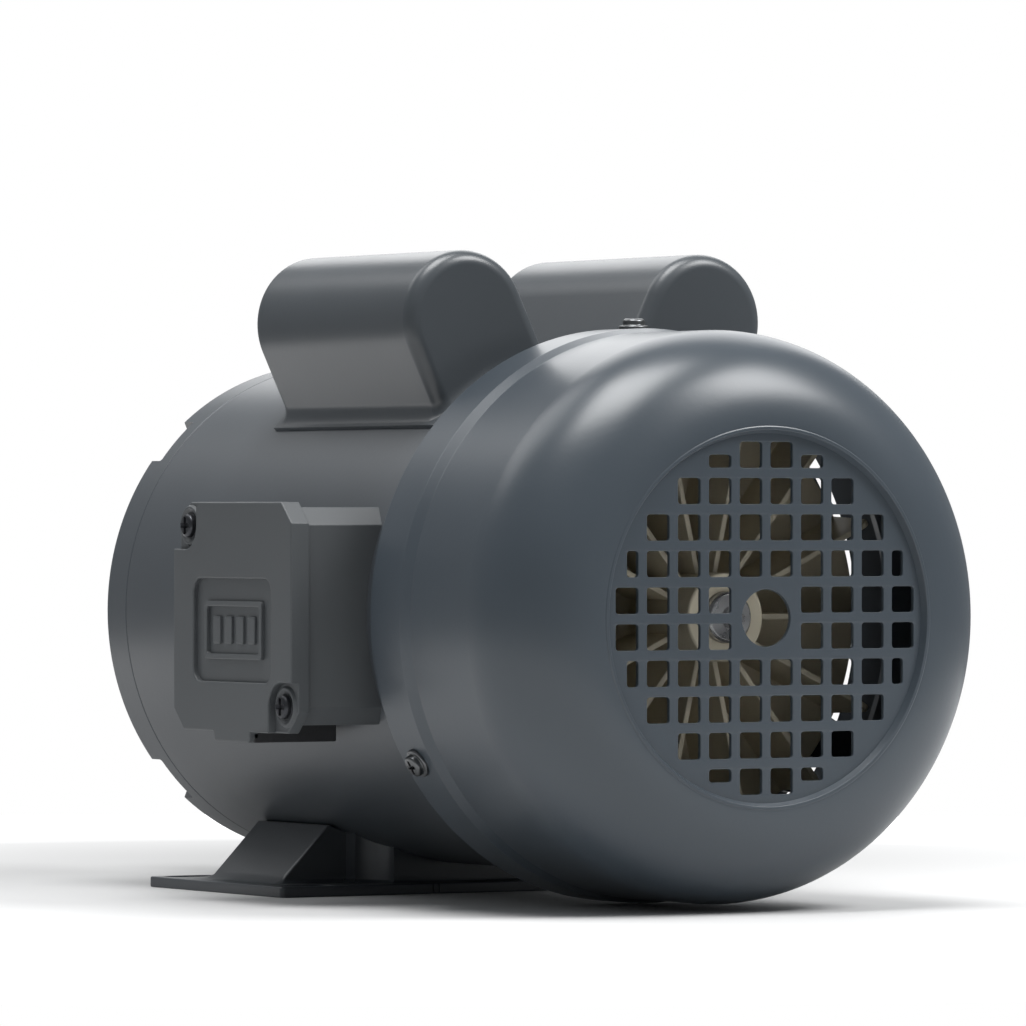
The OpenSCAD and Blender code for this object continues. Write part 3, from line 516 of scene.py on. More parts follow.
def drive_endshield():
    """A shallow dome with a hub, and a notch at each bolt head."""
    rim_y, hub_y, seat_y0, seat_y1 = SHIELD_HIGH.y - 37.5, SHIELD_HIGH.y, 77.0, 93.0
    seam, bore_r, cavity_r = SHELL_HIGH.y, 10.0, 66.0
    dome = Shape().turned(rounded([
        (SHELL_R, seam, 0.5), (SHELL_R, rim_y, 1.2), (SHELL_R - 3, rim_y + 2.4, 1.5),
        (66, 69, 8), (46, 78, 12), (31, 86, 4), (HUB_OUTER_R, 90, 2), (HUB_OUTER_R, hub_y, 1.2),
        (bore_r, hub_y, 0.6), (bore_r, seat_y1), (SEAT_R, seat_y1), (SEAT_R, seat_y0),
        (HUB_OUTER_R, seat_y0), (40, 73, 6), (58, 63, 4), (cavity_r, 54), (cavity_r, seam),
        (SPIGOT_INNER_R, seam), (SPIGOT_INNER_R, seam - SPIGOT_L), (SPIGOT_R, seam - SPIGOT_L),
        (SPIGOT_R, seam)]), about_axis())
    obj = new_object("v_drive_endshield", dome)
    cutter, past = Shape(), 20
    notch = soft_box(-NOTCH_W / 2, 0, NOTCH_W / 2, past, 1.5)
    for angle in BOLT_ANGLES:
        cutter.slab(notch, along_shaft(angle, NOTCH_R, NOTCH_Y), 0, past, back=1.0)
    return cut(obj, cutter)


def through_bolts():
    """Long bolts, each with a hexagonal head on a flange."""
    shape = Shape()
    bolt_y, head_y, head_half, flange_r, flange_t, bolt_r = BOLT_LOW.y, NOTCH_Y, 4.0, 4.6, 0.7, 2.5
    flange = rounded([(0, head_y), (flange_r, head_y, 0.1), (flange_r, head_y + flange_t, 0.3),
                      (0, head_y + flange_t)], closed=False)
    shank = rounded([(0, bolt_y), (bolt_r, bolt_y, 0.5), (bolt_r, head_y), (0, head_y)], closed=False)
    for angle in BOLT_ANGLES:
        place = along_shaft(angle, BOLT_RING_R)
        shape.turned(flange, place, closed=False, steps=FINE)
        shape.hexagon(place, head_half, head_y + flange_t, BOLT_HIGH.y)
        shape.turned(shank, place, closed=False, steps=24)
    return shape


def fan_endshield():
    """The web behind the fan, its rim coned so that light passes between the fan and the cover."""
    shape = Shape()
    web_low, web_high, seam = SHELL_LOW.y - 11.5, SHELL_LOW.y - 7.0, SHELL_LOW.y
    bore_r, cone_r, hub_y, seat_y = 10.5, 72.0, -116.5, -132.0
    shape.turned(rounded([
        (bore_r, web_low, 0.6), (cone_r, web_low, 1.0), (SHELL_R, seam - 1.6, 0.5), (SHELL_R, seam),
        (SPIGOT_R, seam), (SPIGOT_R, seam + SPIGOT_L, 0.3), (SPIGOT_INNER_R, seam + SPIGOT_L, 0.3),
        (SPIGOT_INNER_R, seam - 1), (cone_r - 2.5, web_high), (HUB_OUTER_R, web_high, 1.0),
        (HUB_OUTER_R, hub_y, 0.6), (SEAT_R, hub_y, 0.6), (SEAT_R, seat_y), (bore_r, seat_y)]), about_axis())
    rib_r0, rib_r1, rib_y0, rib_y1, rib_t = 30, 64, web_low - 3, web_low + 0.5, 2.4
    rib = rounded([(rib_r0, rib_y0, 1.2), (rib_r1, rib_y0, 1.2), (rib_r1, rib_y1), (rib_r0, rib_y1)])
    for k in range(12):
        shape.slab(rib, radial(15 + 30 * k), -rib_t / 2, rib_t / 2, (), 0.5, 0.5, steps=2)
    # Pads under the bolt nuts, and posts for the switch plate
    pad_r, post_r, post_ring_r, post_y0, post_y1 = 5.2, 4, 36, web_high - 1, -112
    pad = rounded([(0, web_low), (pad_r, web_low, 0.5), (pad_r, seam), (0, seam)], closed=False)
    for angle in BOLT_ANGLES:
        shape.turned(pad, along_shaft(angle, BOLT_RING_R), closed=False, steps=FINE)
    post = rounded([(0, post_y0), (post_r, post_y0), (post_r, post_y1, 0.4), (0, post_y1)], closed=False)
    for angle in (90, 270):
        shape.turned(post, along_shaft(angle, post_ring_r), closed=False, steps=FINE)
    # Ears for the screws of the fan cover
    ear_r0, ear_r1, half_w, half_l = 76.5, 86.85, 7.0, 4.0
    outline = rounded([(-half_w, -half_l, 1), (half_w, -half_l, 1),
                       (half_w, half_l, 1), (-half_w, half_l, 1)])
    for angle in COVER_SCREW_ANGLES:
        ear = outward(angle, seam - half_l)
        rows = [[ear(u, v, ear_r0) for u, v in outline],
                [ear(u, v, math.sqrt(ear_r1 ** 2 - u ** 2)) for u, v in outline]]
        shape.grid(rows, wrap_columns=True)
        for row in rows:
            shape.add(row, [tuple(range(len(row)))])
    return shape


piece(drive_endshield(), ["drive_endshield"])
piece(through_bolts(), ["through_bolts"], zinc)
piece(fan_endshield(), ["fan_endshield"])


# ---------------------------------------------------------------- base

PLATE_LOW, PLATE_HIGH = box_mm("base_plate")
CRADLE_HIGH = box_mm("base_cradle")[1]
SLOT_DX, SLOT_DY, SLOT_W, SLOT_L = 123.8, 76.2, 8.7, 18.0


def slot_loop(u, v):
    """Outline of a foot slot, long across the shaft."""
    half, r = (SLOT_L - SLOT_W) / 2, SLOT_W / 2
    return arc(u + half, v, r, -90, 90, 16) + arc(u - half, v, r, 90, 270, 16)


def base_plate():
    """A flat plate with four slots and two shallow marks on the edge at the fan end."""
    x, y, corner = PLATE_HIGH.x, PLATE_HIGH.y, 1.5
    mark_w, mark_depth, marks = 0.8, 0.5, []
    for u in (-19.5, -17.5):
        marks += [(u, -y), (u, -y + mark_depth), (u + mark_w, -y + mark_depth), (u + mark_w, -y)]
    outline = rounded([(-x, -y, corner), *marks, (x, -y, corner), (x, y, corner), (-x, y, corner)])
    holes = [slot_loop(sx * SLOT_DX / 2, sy * SLOT_DY / 2) for sx in (-1, 1) for sy in (-1, 1)]
    return Shape().slab(outline, basis((0, 0, 0), X, Y, Z), PLATE_LOW.z, PLATE_HIGH.z, holes, 0.6, 0.4)


def base_cradle():
    """Sloped wings and a longer middle, joined by round turns, as one pressed sheet."""
    foot_x, top_x, top_z = CRADLE_HIGH.x, 45.5, CRADLE_HIGH.z
    wing_y, middle_y, middle_x, turn_r = 23.0, CRADLE_HIGH.y, 39.0, 9.0
    floor_z, sheet, flare = PLATE_HIGH.z, 3.4, 1.2
    quarter = rounded([(foot_x, 0), (foot_x, wing_y, 1.2), (middle_x + 1, wing_y)], closed=False)
    quarter += rounded([(middle_x, wing_y), (middle_x, middle_y - turn_r)], closed=False)
    quarter += arc(middle_x, middle_y, turn_r, -90, -178, 14)[1:]
    quarter += rounded([(middle_x - turn_r, middle_y, 1), (0, middle_y)], closed=False)
    loop = quarter + [(-u, v) for u, v in quarter[::-1]][1:]
    loop += [(-u, -v) for u, v in quarter][1:] + [(u, -v) for u, v in quarter[::-1]][1:-1]
    normals = moved_in(loop, -1.0)
    rows = []
    levels = 14
    for k in range(levels + 1):
        row = []
        for (u, v), (nu, nv) in zip(loop, normals):
            share = max(0.0, (abs(u) - middle_x) / (foot_x - middle_x))
            top_u = middle_x + share * (top_x - middle_x) if share > 0 else abs(u)
            roof = min(AXIS_Z - math.sqrt((SHELL_R + FIT) ** 2 - top_u ** 2), top_z)
            z = floor_z + (roof - floor_z) * k / levels
            slope = (z - floor_z) / (top_z - floor_z)
            x = math.copysign(abs(u) + (top_u - abs(u)) * slope, u)
            rise = min(1.0, (z - floor_z) / flare)
            spread = flare * (1 - math.sin(math.acos(1 - rise)))
            row.append(Vector((x + (nu - u) * spread, v + (nv - v) * spread, z)))
        rows.append(row)
    inner = [[p - Vector(((nu - u), (nv - v), 0)) * sheet for p, (u, v), (nu, nv) in zip(row, loop, normals)]
             for row in (rows[-1], rows[0])]
    return Shape().grid(rows + inner, wrap_rows=True, wrap_columns=True)


piece(base_plate(), ["base_plate"])
piece(base_cradle(), ["base_cradle"], smooth=40)


# ---------------------------------------------------------------- fan cover

COVER_LOW, COVER_HIGH = box_mm("fan_cover")
RIM_R = (COVER_HIGH.x - COVER_LOW.x) / 2
COVER_R, COVER_ROUND, COVER_SHEET = RIM_R - 1.3, 31.2, 1.2
CONE_Y0, CONE_Y1 = -147.0, -142.4
DISC_Y, DISC_T, DISC_R = COVER_LOW.y + 2.0, 1.4, 56.2
GRILLE_PITCH, GRILLE_HOLE, GRILLE_BORE_R = 10.87, 7.8, 8.6
ROW_HALF = (2, 3, 4, 5, 5)  # half width of each row of holes, from the outside to the middle
COVER_SCREW_Y = -134.0


def grille_holes():
    """Ten rows of square holes in a round field, the outermost cut to half, and the bore."""
    holes, half = [circle(0, 0, GRILLE_BORE_R)], GRILLE_HOLE / 2
    for i in range(10):
        for j in range(10):
            across = abs(i - 4.5)
            if across >= ROW_HALF[min(j, 9 - j)] or (across < 1 and abs(j - 4.5) < 1):
                continue
            u, v = (i - 4.5) * GRILLE_PITCH, (j - 4.5) * GRILLE_PITCH
            u0, u1, v0, v1 = u - half, u + half, v - half, v + half
            if i in (0, 9) and j in (3, 6):
                u0, u1 = (u, u1) if i == 0 else (u0, u)
            if j in (0, 9) and i in (3, 6):
                v0, v1 = (v, v1) if j == 0 else (v0, v)
            holes.append(soft_box(u0, v0, u1, v1, 1.0))
    return holes


def fan_cover():
    """A pressed bowl with a small cone near its rim, a fine bead round the sunk disc, and the grille."""
    shape = Shape()
    centre_r, centre_y = COVER_R - COVER_ROUND, COVER_LOW.y + COVER_ROUND
    inner_round = COVER_ROUND - COVER_SHEET
    outer = arc(centre_r, centre_y, COVER_ROUND, -85.5, 0, 36)
    inner = arc(centre_r, centre_y, inner_round, 0, -87, 30)
    edge = rounded([
        (COVER_R, centre_y), (COVER_R, CONE_Y0, 2.5), (RIM_R, CONE_Y1, 2.5), (RIM_R, COVER_HIGH.y, 0.5),
        (RIM_R - COVER_SHEET, COVER_HIGH.y, 0.5), (RIM_R - COVER_SHEET, CONE_Y1, 2),
        (COVER_R - COVER_SHEET, CONE_Y0, 2), (COVER_R - COVER_SHEET, centre_y)], closed=False)
    bead_r, bead_y = DISC_R + 0.75, COVER_LOW.y - 0.1
    lip = rounded([
        inner[-1], (DISC_R + 0.6, COVER_LOW.y + 1.3, 0.2), (DISC_R + 0.3, DISC_Y + 0.6, 0.2),
        (DISC_R - 0.9, DISC_Y + 0.5), (DISC_R - 0.7, DISC_Y - 0.15, 0.25),
        (DISC_R + 0.05, COVER_LOW.y + 0.3, 0.3), (DISC_R + 0.25, bead_y, 0.3), (bead_r + 0.35, bead_y, 0.3),
        (bead_r + 0.7, COVER_LOW.y + 0.12, 0.3), outer[0]], closed=False)
    shape.turned(outer[:-1] + edge + inner[1:-1] + lip[:-1], about_axis())
    # The disc's local w points towards the viewer in front of the fan
    front = basis((0, DISC_Y, AXIS_Z), X, Z, -Y)
    shape.slab(circle(0, 0, DISC_R, ROUND), front, -DISC_T, 0, grille_holes(), 0.22, 0.15, steps=2)
    return shape


def fan_cover_screws():
    """Three cross-recess screws round the rim of the cover."""
    shape = Shape()
    for angle in COVER_SCREW_ANGLES:
        cross_screw(shape, outward(angle, COVER_SCREW_Y, RIM_R), 4.7, 3.5, 3.1)
    return shape


piece(fan_cover(), ["fan_cover"], smooth=40)
piece(fan_cover_screws(), ["fan_cover_screws"], zinc)


# ---------------------------------------------------------------- fan and shaft

FAN_LOW, FAN_HIGH = box_mm("fan")
SHAFT_LOW, SHAFT_HIGH = box_mm("shaft")
FAN_R = (FAN_HIGH.x - FAN_LOW.x) / 2
BLADE_COUNT, BLADE_T, HUB_R, FAN_BORE_R = 14, 1.8, 13.9, 7.77
BLADE_Y0, FAN_PLATE_Y = -176.0, FAN_HIGH.y - 2.5


def fan():
    """A hub and a back plate with straight blades."""
    shape = Shape()
    shape.turned(rounded([
        (FAN_BORE_R, FAN_LOW.y, 0.4), (HUB_R - 0.5, FAN_LOW.y, 0.8), (HUB_R, FAN_PLATE_Y, 2.5),
        (FAN_R, FAN_PLATE_Y, 0.8), (FAN_R, FAN_HIGH.y, 0.8), (FAN_BORE_R, FAN_HIGH.y, 0.4)]), about_axis())
    blade = rounded([(HUB_R - 1, BLADE_Y0), (FAN_R - 2.5, BLADE_Y0, 4), (FAN_R - 0.3, FAN_PLATE_Y + 1),
                     (HUB_R - 1, FAN_PLATE_Y + 1)])
    for k in range(BLADE_COUNT):
        shape.slab(blade, radial(360 * k / BLADE_COUNT), -BLADE_T / 2, BLADE_T / 2, (), 0.4, 0.4, steps=2)
    return shape


def shaft():
    """Stepped, with a centre hole at each end and a keyseat in the driving tip."""
    tip_r, tip_l, fan_seat_r, bearing_r = 7.9375, 47.6, 7.75, 8.5
    key_w, key_l, key_z = 4.78, 22.5, 5.19
    y0, y1 = SHAFT_LOW.y, SHAFT_HIGH.y
    shoulder_y = y1 - tip_l
    fan_end = [(0, y0 + 6.5), (0.9, y0 + 6), (0.9, y0 + 3.5), (3.3, y0, 0.2), (fan_seat_r - 0.8, y0, 0.2),
               (fan_seat_r, y0 + 0.8, 0.3), (fan_seat_r, -142)]
    middle = [(bearing_r, -142), (bearing_r, -118), (10, -118), (10, -60), (12, -60), (12, 30),
              (11, 30), (11, 80), (bearing_r, 80, 0.3), (bearing_r, shoulder_y, 0.3)]
    tip = [(tip_r, shoulder_y, 0.2), (tip_r, y1 - 1, 0.3), (tip_r - 1, y1, 0.3),
           (2.6, y1, 0.2), (0.8, y1 - 3), (0.8, y1 - 5), (0, y1 - 5.5)]
    profile = rounded(fan_end + middle + tip, closed=False)
    obj = new_object("v_shaft", Shape().turned(profile, about_axis(), closed=False, steps=96))
    seat = basis((0, 0, AXIS_Z + key_z), X, Y, Z)
    outline = [(-key_w / 2, y1 - key_l), (key_w / 2, y1 - key_l), (key_w / 2, y1 + 2), (-key_w / 2, y1 + 2)]
    return cut(obj, Shape().slab(outline, seat, 0, 6))


def shaft_slinger():
    """A rubber ring with a lip against the hub."""
    low, high = box_mm("shaft_slinger")
    y0, r, bore_r = low.y, (high.x - low.x) / 2, 8.5 + FIT
    return Shape().turned(rounded([
        (bore_r, y0 + 0.6), (r - 1.5, y0, 0.2), (r, y0 + 0.5, 0.4), (r - 0.7, y0 + 1.2, 0.4),
        (11.6, y0 + 2.4, 0.8), (11.4, y0 + 4, 0.6), (11.9, y0 + 5.2, 0.5),
        (11.4, high.y, 0.5), (bore_r, high.y, 0.4)]), about_axis())


piece(fan(), ["fan"])
piece(shaft(), ["shaft"], smooth=30)
piece(shaft_slinger(), ["shaft_slinger"])


# ---------------------------------------------------------------- terminal box

LID_LOW, LID_HIGH = box_mm("terminal_cover")
BOX_LOW, BOX_HIGH = box_mm("terminal_box")
ENTRY_LOW, ENTRY_HIGH = box_mm("entry_block")
ENTRY_X = -88.5  # middle of the hole for the cable
LID_Y = (LID_LOW.y + LID_HIGH.y) / 2
LID_HALF_W = (LID_HIGH.y - LID_LOW.y) / 2
LID_HALF_H = LID_HIGH.z - AXIS_Z
LID_X, LID_SKIRT = -LID_LOW.x, LID_HIGH.x - LID_LOW.x
LID_CHAMFER, TAB_HALF, POCKET_R, POCKET_DEPTH = 6.5, 11.5, 7.3, 2.6
LID_SCREW_U, LID_SCREW_V = 30.5, 27.6
LID_DROP = 0.9  # the lid reaches this much further below the shaft axis than above it
# Local u is to the right and v up for someone who faces the lid, and w is the distance from the shaft axis
facing_lid = basis((0, LID_Y, AXIS_Z), -Y, Z, -X)


def octagon(half_w, half_h, chamfer, radius=0.8):
    """A rectangle with its corners cut off."""
    return rounded([
        (-half_w + chamfer, -half_h, radius), (half_w - chamfer, -half_h, radius),
        (half_w, -half_h + chamfer, radius), (half_w, half_h - chamfer, radius),
        (half_w - chamfer, half_h, radius), (-half_w + chamfer, half_h, radius),
        (-half_w, half_h - chamfer, radius), (-half_w, -half_h + chamfer, radius)])


def lowered(loop):
    """The loop with its lower half moved down to the lid's lower edge."""
    return [(u, v - LID_DROP if v < 0 else v) for u, v in loop]


def lid_screw_place(side):
    """The floor of a screw pocket: side -1 is the lower right one and 1 the upper left one."""
    return basis(facing_lid(-side * LID_SCREW_U, side * LID_SCREW_V, LID_X - POCKET_DEPTH), -Y, Z, -X)


def terminal_cover():
    """A face with two screw pockets and a sunk panel, a skirt behind it, and a plain frame in the panel."""
    shape = Shape()
    w, h, c = LID_HALF_W, LID_HALF_H, LID_CHAMFER
    su, sv, r = LID_SCREW_U, LID_SCREW_V, POCKET_R
    low, tab_v = h + LID_DROP, LID_LOW.z - AXIS_Z
    panel = soft_box(-24.85, -20.5, 24.85, 11.3, 4.2)
    # The face goes round from the lower left, past the tab, and leaves out the pocket of each screw
    face = rounded([(-w + c + 4, -low), (-TAB_HALF, -low, 1.2), (-TAB_HALF, tab_v, 1.5),
                    (TAB_HALF, tab_v, 1.5), (TAB_HALF, -low, 0.5), (su - r, -low, 0.4), (su - r, -sv)],
                   closed=False)
    face += arc(su, -sv, r, 180, 90, 12)
    face += rounded([(w, -sv + r, 0.4), (w, h - c, 1), (w - c, h, 1), (-su + r, h, 0.4), (-su + r, sv)],
                    closed=False)
    face += arc(-su, sv, r, 0, -90, 12)
    face += rounded([(-w, sv - r, 0.4), (-w, -low + c, 1), (-w + c, -low, 1), (-w + c + 3, -low)],
                    closed=False)
    face_t = POCKET_DEPTH + 0.4
    shape.slab(face, facing_lid, LID_X - face_t, LID_X, [panel], 0.55)
    # The skirt behind the face
    rim = lowered(octagon(w - 0.04, h - 0.04, c))
    inside = lowered(octagon(w - 1.4, h - 1.4, c - 0.6))
    pocket_w = LID_X - POCKET_DEPTH
    shape.slab(rim, facing_lid, LID_X - LID_SKIRT, pocket_w, [inside], 0.4, 0.3)
    shape.slab(lowered(octagon(w - 0.9, h - 0.9, c - 0.3)), facing_lid, pocket_w - 1, pocket_w)
    # The panel's floor, with a plain raised frame and plain bars in it
    floor_w, bar_half_w = LID_X - 1.6, 2.3
    shape.slab(soft_box(-25.3, -21, 25.3, 11.8, 4.4), facing_lid, floor_w - 0.8, floor_w)
    shape.slab(soft_box(-18.3, -13.6, 18.3, 4.4, 1.5), facing_lid, floor_w - 0.1, LID_X - 0.35,
               [soft_box(-16.6, -11.9, 16.6, 2.7, 1.0)], 0.3, steps=2)
    for u in (-11.0, -3.7, 3.7, 11.0):
        bar = soft_box(u - bar_half_w, -8.9, u + bar_half_w, -0.3, 0.8)
        shape.slab(bar, facing_lid, floor_w - 0.1, LID_X - 0.75, (), 0.25, steps=2)
    dished_ring = rounded([(4.1, -0.2), (4.1, 0.15, 0.1), (5.3, 0.9, 0.5), (5.9, 0.9, 0.4), (6.6, -0.2)])
    for side in (-1, 1):
        shape.turned(dished_ring, lid_screw_place(side), steps=FINE)
    return shape


def terminal_cover_screws():
    """A black cross-recess screw in each pocket."""
    shape = Shape()
    for side in (-1, 1):
        cross_screw(shape, lid_screw_place(side), 3.9, 3.7, 2.5, 0.3, size=5.6)
    return shape


def terminal_box():
    """Walls that widen towards the shell, where their edge follows its curve."""
    half_w, half_h, wall, flare = (BOX_HIGH.y - BOX_LOW.y) / 2, (BOX_HIGH.z - BOX_LOW.z) / 2, 2.6, 3.0
    outer = octagon(half_w, half_h, 5.4)
    flared = [(u * (1 + flare / half_w), v) for u, v in outer]
    inner = moved_in(outer, wall)
    front = -BOX_LOW.x

    def back(v):
        return math.sqrt((SHELL_R + FIT) ** 2 - v ** 2)

    rows = [
        [facing_lid(u, v, front) for u, v in inner],
        [facing_lid(u, v, front) for u, v in outer],
        [facing_lid(u, v, front - 2) for u, v in outer],
        [facing_lid(u, v, back(v)) for u, v in flared],
        [facing_lid(u, v, back(v)) for u, v in inner],
        [facing_lid(u, v, (front + back(v)) / 2) for u, v in inner]]
    obj = new_object("v_terminal_box", Shape().grid(rows, wrap_rows=True, wrap_columns=True))
    entry, entry_r = basis((ENTRY_X, LID_Y, BOX_LOW.z), X, Y, Z), 10.25
    return cut(obj, Shape().slab(circle(0, 0, entry_r), entry, -3, 6))


def entry_block():
    """Black block under the box, with a ribbed hole for a cable gland. Its black is partly a plug's own
    colour and partly painted shade of the dark underside of the box.
    """
    place = basis((0, LID_Y, 0), X, Y, Z)
    low, high, half = ENTRY_LOW.z, BOX_LOW.z - FIT, (ENTRY_HIGH.y - ENTRY_LOW.y) / 2
    bore_r, collar_r, thread_pitch = 8.2, 10.2, 1.5
    shape = Shape()
    shape.slab(soft_box(LID_HIGH.x + 0.2, -half, ENTRY_HIGH.x, half, 1.2), place, low, high,
               [circle(ENTRY_X, 0, bore_r)], 0.3, 0.5)
    # A black sheet under the lid's tab: painted shade where the underside of the box is dark.
    painted_shade_under_lid = soft_box(ENTRY_LOW.x, -half, LID_HIGH.x + 1.2, half, 0.3)
    shape.slab(painted_shade_under_lid, place, low, AXIS_Z - LID_HALF_H - 0.1, (), 0.2, 0.5)
    profile = []
    for k in range(5):
        z = low + 0.9 + k * thread_pitch
        profile += [(bore_r + 0.05, z - thread_pitch / 2), (bore_r - 0.35, z)]
    profile += [(bore_r, ENTRY_HIGH.z), (collar_r, ENTRY_HIGH.z), (collar_r, high - 0.5)]
    shape.turned(profile, basis((ENTRY_X, LID_Y, 0), X, Y, Z), closed=False, steps=FINE)
    return shape


piece(terminal_cover(), ["terminal_cover"])
piece(terminal_cover_screws(), ["terminal_cover_screws"], black_screw)
piece(terminal_box(), ["terminal_box"])
piece(entry_block(), ["entry_block"])


# ---------------------------------------------------------------- capacitor covers

CAP_ROUND, CAP_FLANGE_T, CAP_TAB_REACH, CAP_TAB_HALF, CAP_FLANGE_HALF = 4.5, 1.2, 11.0, 8.0, 26.0
CAP_R, CAP_SCREW_OUT = 21.3, 6.0
CAP_FLANGE_R = SHELL_R + FIT + CAP_FLANGE_T  # outer face of the flange, from the shaft axis


def capacitor_side(node):
    """Lean in radians, distance from the shaft axis to the middle of the cover's round top, and its ends."""
    low, high = box_mm(node)
    x, z = (low.x + high.x) / 2, (low.z + high.z) / 2 - AXIS_Z
    cover_low, cover_high = box_mm(node + "_cover")
    return math.atan2(x, z), math.hypot(x, z) + 1, cover_low.y + CAP_TAB_REACH, cover_high.y - CAP_TAB_REACH


def leaning(lean):
    """Local u is across, v along the shaft and w outward from the shaft axis."""
    return basis((0, 0, AXIS_Z), Vector((math.cos(lean), 0, -math.sin(lean))), Y,
                 Vector((math.sin(lean), 0, math.cos(lean))))


def cap_outlines(y0, y1):
    """Half of a cover's outline in plan, and all of it, with points along the straight stretches too."""
    half = rounded([(0, y0), (CAP_R, y0, CAP_ROUND), (CAP_R, y1, CAP_ROUND), (0, y1)], closed=False, step=6)
    side_steps, end_steps, long_step = 20, 8, 20
    straight = [i for i in range(len(half) - 1) if half[i + 1][1] - half[i][1] > long_step][0]
    a, b = Vector(half[straight]), Vector(half[straight + 1])
    between = [tuple(a + (b - a) * t / side_steps) for t in range(1, side_steps)]
    half[straight + 1:straight + 1] = between
    ends = [(CAP_R - CAP_ROUND) * t / end_steps for t in range(1, end_steps)]
    half[1:1] = [(u, y0) for u in ends]
    half[-1:-1] = [(u, y1) for u in ends[::-1]]
    return half, half + [(-u, v) for u, v in half[::-1]][1:-1]


def cap_flange(shape, place, y0, y1):
    """Flange that hugs the shell, with a rounded screw tab at each end."""
    reach, corner, edge, columns = 1.5, 2.0, 1.0, 104
    tab_reach, inner_r, outer_r = CAP_TAB_REACH - corner, SHELL_R + FIT, CAP_FLANGE_R
    flange = []
    for k in range(columns + 1):
        u = -CAP_FLANGE_HALF + 2 * CAP_FLANGE_HALF * k / columns
        tab, side = CAP_TAB_HALF - abs(u), CAP_FLANGE_HALF - abs(u)
        extra = reach
        if tab >= 0:
            extra = tab_reach + math.sqrt(max(0.0, corner ** 2 - max(0.0, corner - tab) ** 2))
        elif side < edge:
            extra = reach - edge + math.sqrt(max(0.0, edge ** 2 - (edge - side) ** 2))
        end0, end1 = y0 - extra, y1 + extra
        section = rounded([(end0, inner_r), (end0, outer_r, 0.35), (end1, outer_r, 0.35), (end1, inner_r)],
                          closed=False, step=30)
        row = []
        for v, r in section:
            across = u * r / outer_r
            row.append(place(across, v, math.sqrt(r ** 2 - across ** 2)))
        flange.append(row)
    shape.grid(flange, wrap_columns=True)
    for row in (flange[0], flange[-1]):
        shape.add(row, [tuple(range(len(row)))])


def capacitor_cover(node):
    """A round-topped cover over a capacitor, with a fillet down to its flange."""
    lean, centre_w, y0, y1 = capacitor_side(node)
    place, fillet, end_fillet, steps = leaning(lean), 4.0, 1.4, 8

    def shell_w(u):
        return math.sqrt(CAP_FLANGE_R ** 2 - u ** 2)

    half, loop = cap_outlines(y0, y1)
    shape = Shape()
    turn = [math.pi * k / FINE for k in range(FINE + 1)]
    shape.grid([[place(u * math.cos(a), v, centre_w + u * math.sin(a)) for a in turn] for u, v in half])
    rows = [[place(u, v, centre_w) for u, v in loop]]
    for t in (0.3, 0.6, 0.85):
        rows.append([place(u, v, centre_w + (shell_w(u) + fillet - centre_w) * t) for u, v in loop])
    spread = moved_in(loop, -1.0)
    for k in range(steps + 1):
        a = math.pi / 2 * k / steps
        row = []
        for (u, v), (su, sv) in zip(loop, spread):
            along = abs(sv - v)
            out = (fillet * (1 - along) + end_fillet * along) * (1 - math.cos(a))
            u, v = u + (su - u) * out, v + (sv - v) * out
            row.append(place(u, v, shell_w(u) - 0.05 + fillet * (1 - math.sin(a))))
        rows.append(row)
    shape.grid(rows, wrap_columns=True)
    cap_flange(shape, place, y0, y1)
    return shape


def capacitor_cover_screws():
    """A screw in each tab of the two flanges."""
    shape = Shape()
    for node in ("start_capacitor", "run_capacitor"):
        lean, _, y0, y1 = capacitor_side(node)
        for y in (y0 - CAP_SCREW_OUT, y1 + CAP_SCREW_OUT):
            cross_screw(shape, outward(90 - math.degrees(lean), y, CAP_FLANGE_R), 4.0, 3.2, 2.4, 0.7)
    return shape


for node in ("start_capacitor", "run_capacitor"):
    piece(capacitor_cover(node), [node + "_cover"], smooth=40)
piece(capacitor_cover_screws(), ["capacitor_cover_screws"], zinc)


# ---------------------------------------------------------------- floor, light and camera

def stage_floor():
    """A pale round floor in metres, with a painted shadow behind the motor and a painted glow at its edge
    that makes it white like the backdrop.
    """
    reach, painted_shadow_at, middle = 0.62, (0.1, 0.17, 0), (0, 0, 0)
    mesh = bpy.data.meshes.new("floor")
    rim = circle(0, 0, reach, 2 * FINE)
    mesh.from_pydata([(u, v, 0) for u, v in rim], [], [tuple(range(len(rim)))])
    obj = bpy.data.objects.new("floor", mesh)
    bpy.context.scene.collection.objects.link(obj)
    f = Finish("floor_with_painted_shadow", (0.64, 0.64, 0.64), specular=0.2)

    def distance_from(point):
        node = f.nodes.new("ShaderNodeVectorMath")
        node.operation = "DISTANCE"
        node.inputs[1].default_value = point
        f.links.new(f.where, node.inputs[0])
        return node.outputs["Value"]

    # Painted shadow: the floor's colour falls to 0.55 of itself near a point behind the motor and is full
    # again 0.3 m from it.
    tint_low, tint_high = 0.3, 0.7  # the range that tint itself reads
    f.tint(f.mapped(distance_from(painted_shadow_at), tint_low, tint_high, 0.05, 0.3), 0.55, 1.0)
    # Painted light: from 0.36 m out the floor glows, up to 0.9 at its edge, so that it is as white as the
    # backdrop.
    painted_glow = f.mapped(distance_from(middle), 0.0, 0.9, 0.36, 0.6)
    f.links.new(painted_glow, f.shader.inputs["Emission Strength"])
    f.shader.inputs["Emission Color"].default_value = (1, 1, 1, 1)
    f.shader.inputs["Roughness"].default_value = 0.7
    mesh.materials.append(f.done())


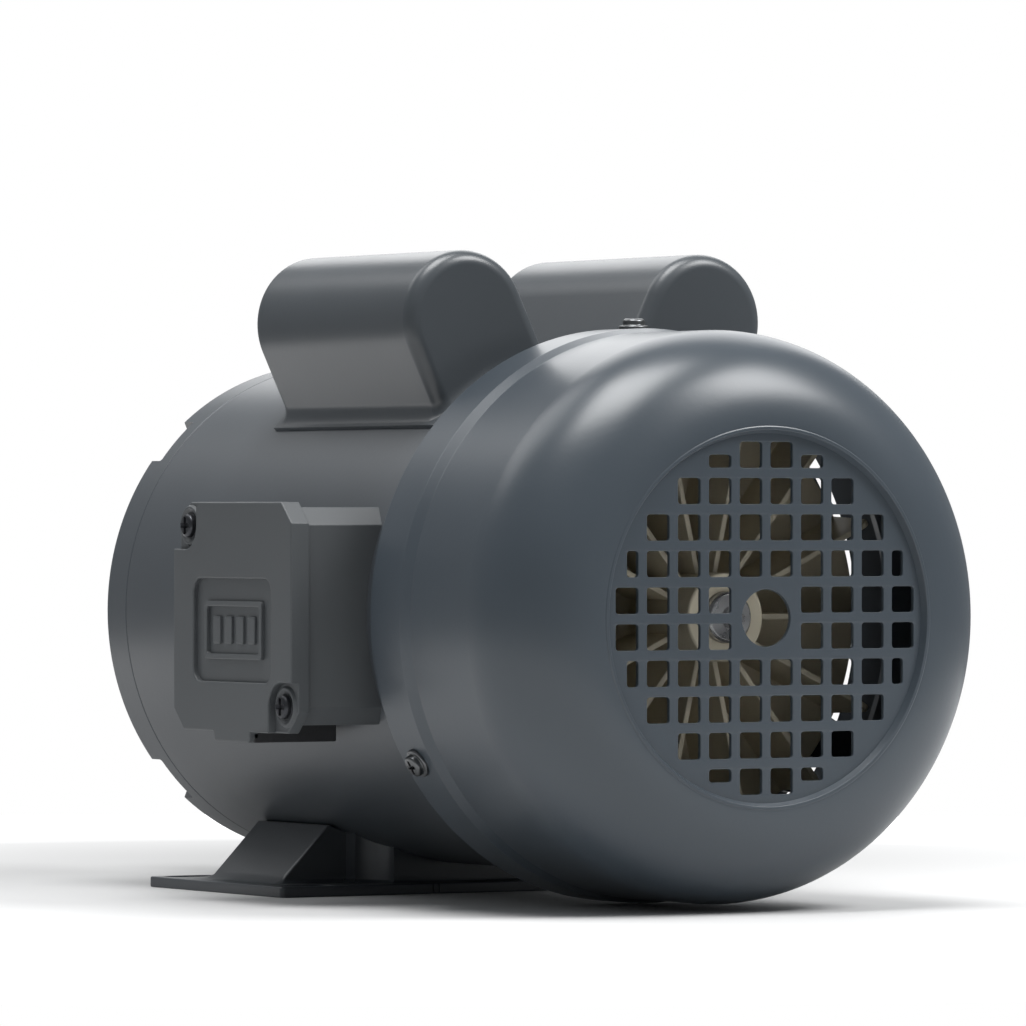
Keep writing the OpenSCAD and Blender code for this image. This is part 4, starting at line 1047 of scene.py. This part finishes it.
def area_light(name, azimuth, elevation, distance, size, power, target=(0, -0.05, 0.09)):
    """A soft square light that looks at the motor. Azimuth 0 is in front of the fan, 90 on the +X side."""
    a, e = math.radians(azimuth), math.radians(elevation)
    data = bpy.data.lights.new(name, "AREA")
    data.shape = "SQUARE"
    data.size = size
    data.energy = power
    obj = bpy.data.objects.new(name, data)
    bpy.context.scene.collection.objects.link(obj)
    back = Vector((math.sin(a) * math.cos(e), -math.cos(a) * math.cos(e), math.sin(e)))
    obj.location = Vector(target) + back * distance
    obj.rotation_euler = back.to_track_quat("Z", "Y").to_euler()


def studio():
    """A white backdrop, a dim room around it and soft boxes."""
    world = bpy.data.worlds.new("studio")
    bpy.context.scene.world = world
    world.use_nodes = True
    nodes, links = world.node_tree.nodes, world.node_tree.links
    room = nodes["Background"]
    room.inputs["Color"].default_value = (0.93, 0.97, 1.0, 1)
    room.inputs["Strength"].default_value = 0.26
    backdrop = nodes.new("ShaderNodeBackground")
    backdrop.inputs["Color"].default_value = (1, 1, 1, 1)
    seen, mix = nodes.new("ShaderNodeLightPath"), nodes.new("ShaderNodeMixShader")
    links.new(seen.outputs["Is Camera Ray"], mix.inputs["Fac"])
    links.new(room.outputs["Background"], mix.inputs[1])
    links.new(backdrop.outputs["Background"], mix.inputs[2])
    links.new(mix.outputs["Shader"], nodes["World Output"].inputs["Surface"])
    area_light("key", 42, 47, 1.7, 0.7, 22)
    area_light("top", -50, 80, 1.7, 0.9, 30)
    area_light("rim", 146, 33, 1.7, 1.1, 8)
    area_light("back", -150, 48, 1.7, 0.9, 6)
    bpy.context.scene.view_settings.view_transform = "Standard"


def camera():
    """The photo's view: level with the motor, a long lens, 30.67 degrees to the left of the shaft axis."""
    data = bpy.data.cameras.new("camera")
    data.sensor_width = 36.0
    data.lens = 279.1
    data.clip_end = 100.0
    obj = bpy.data.objects.new("camera", data)
    bpy.context.scene.collection.objects.link(obj)
    obj.location = (-1.2804, -2.2202, 0.1204)
    obj.rotation_euler = (math.radians(90), 0, math.radians(-30.67))
    bpy.context.scene.camera = obj


stage_floor()
studio()
camera()
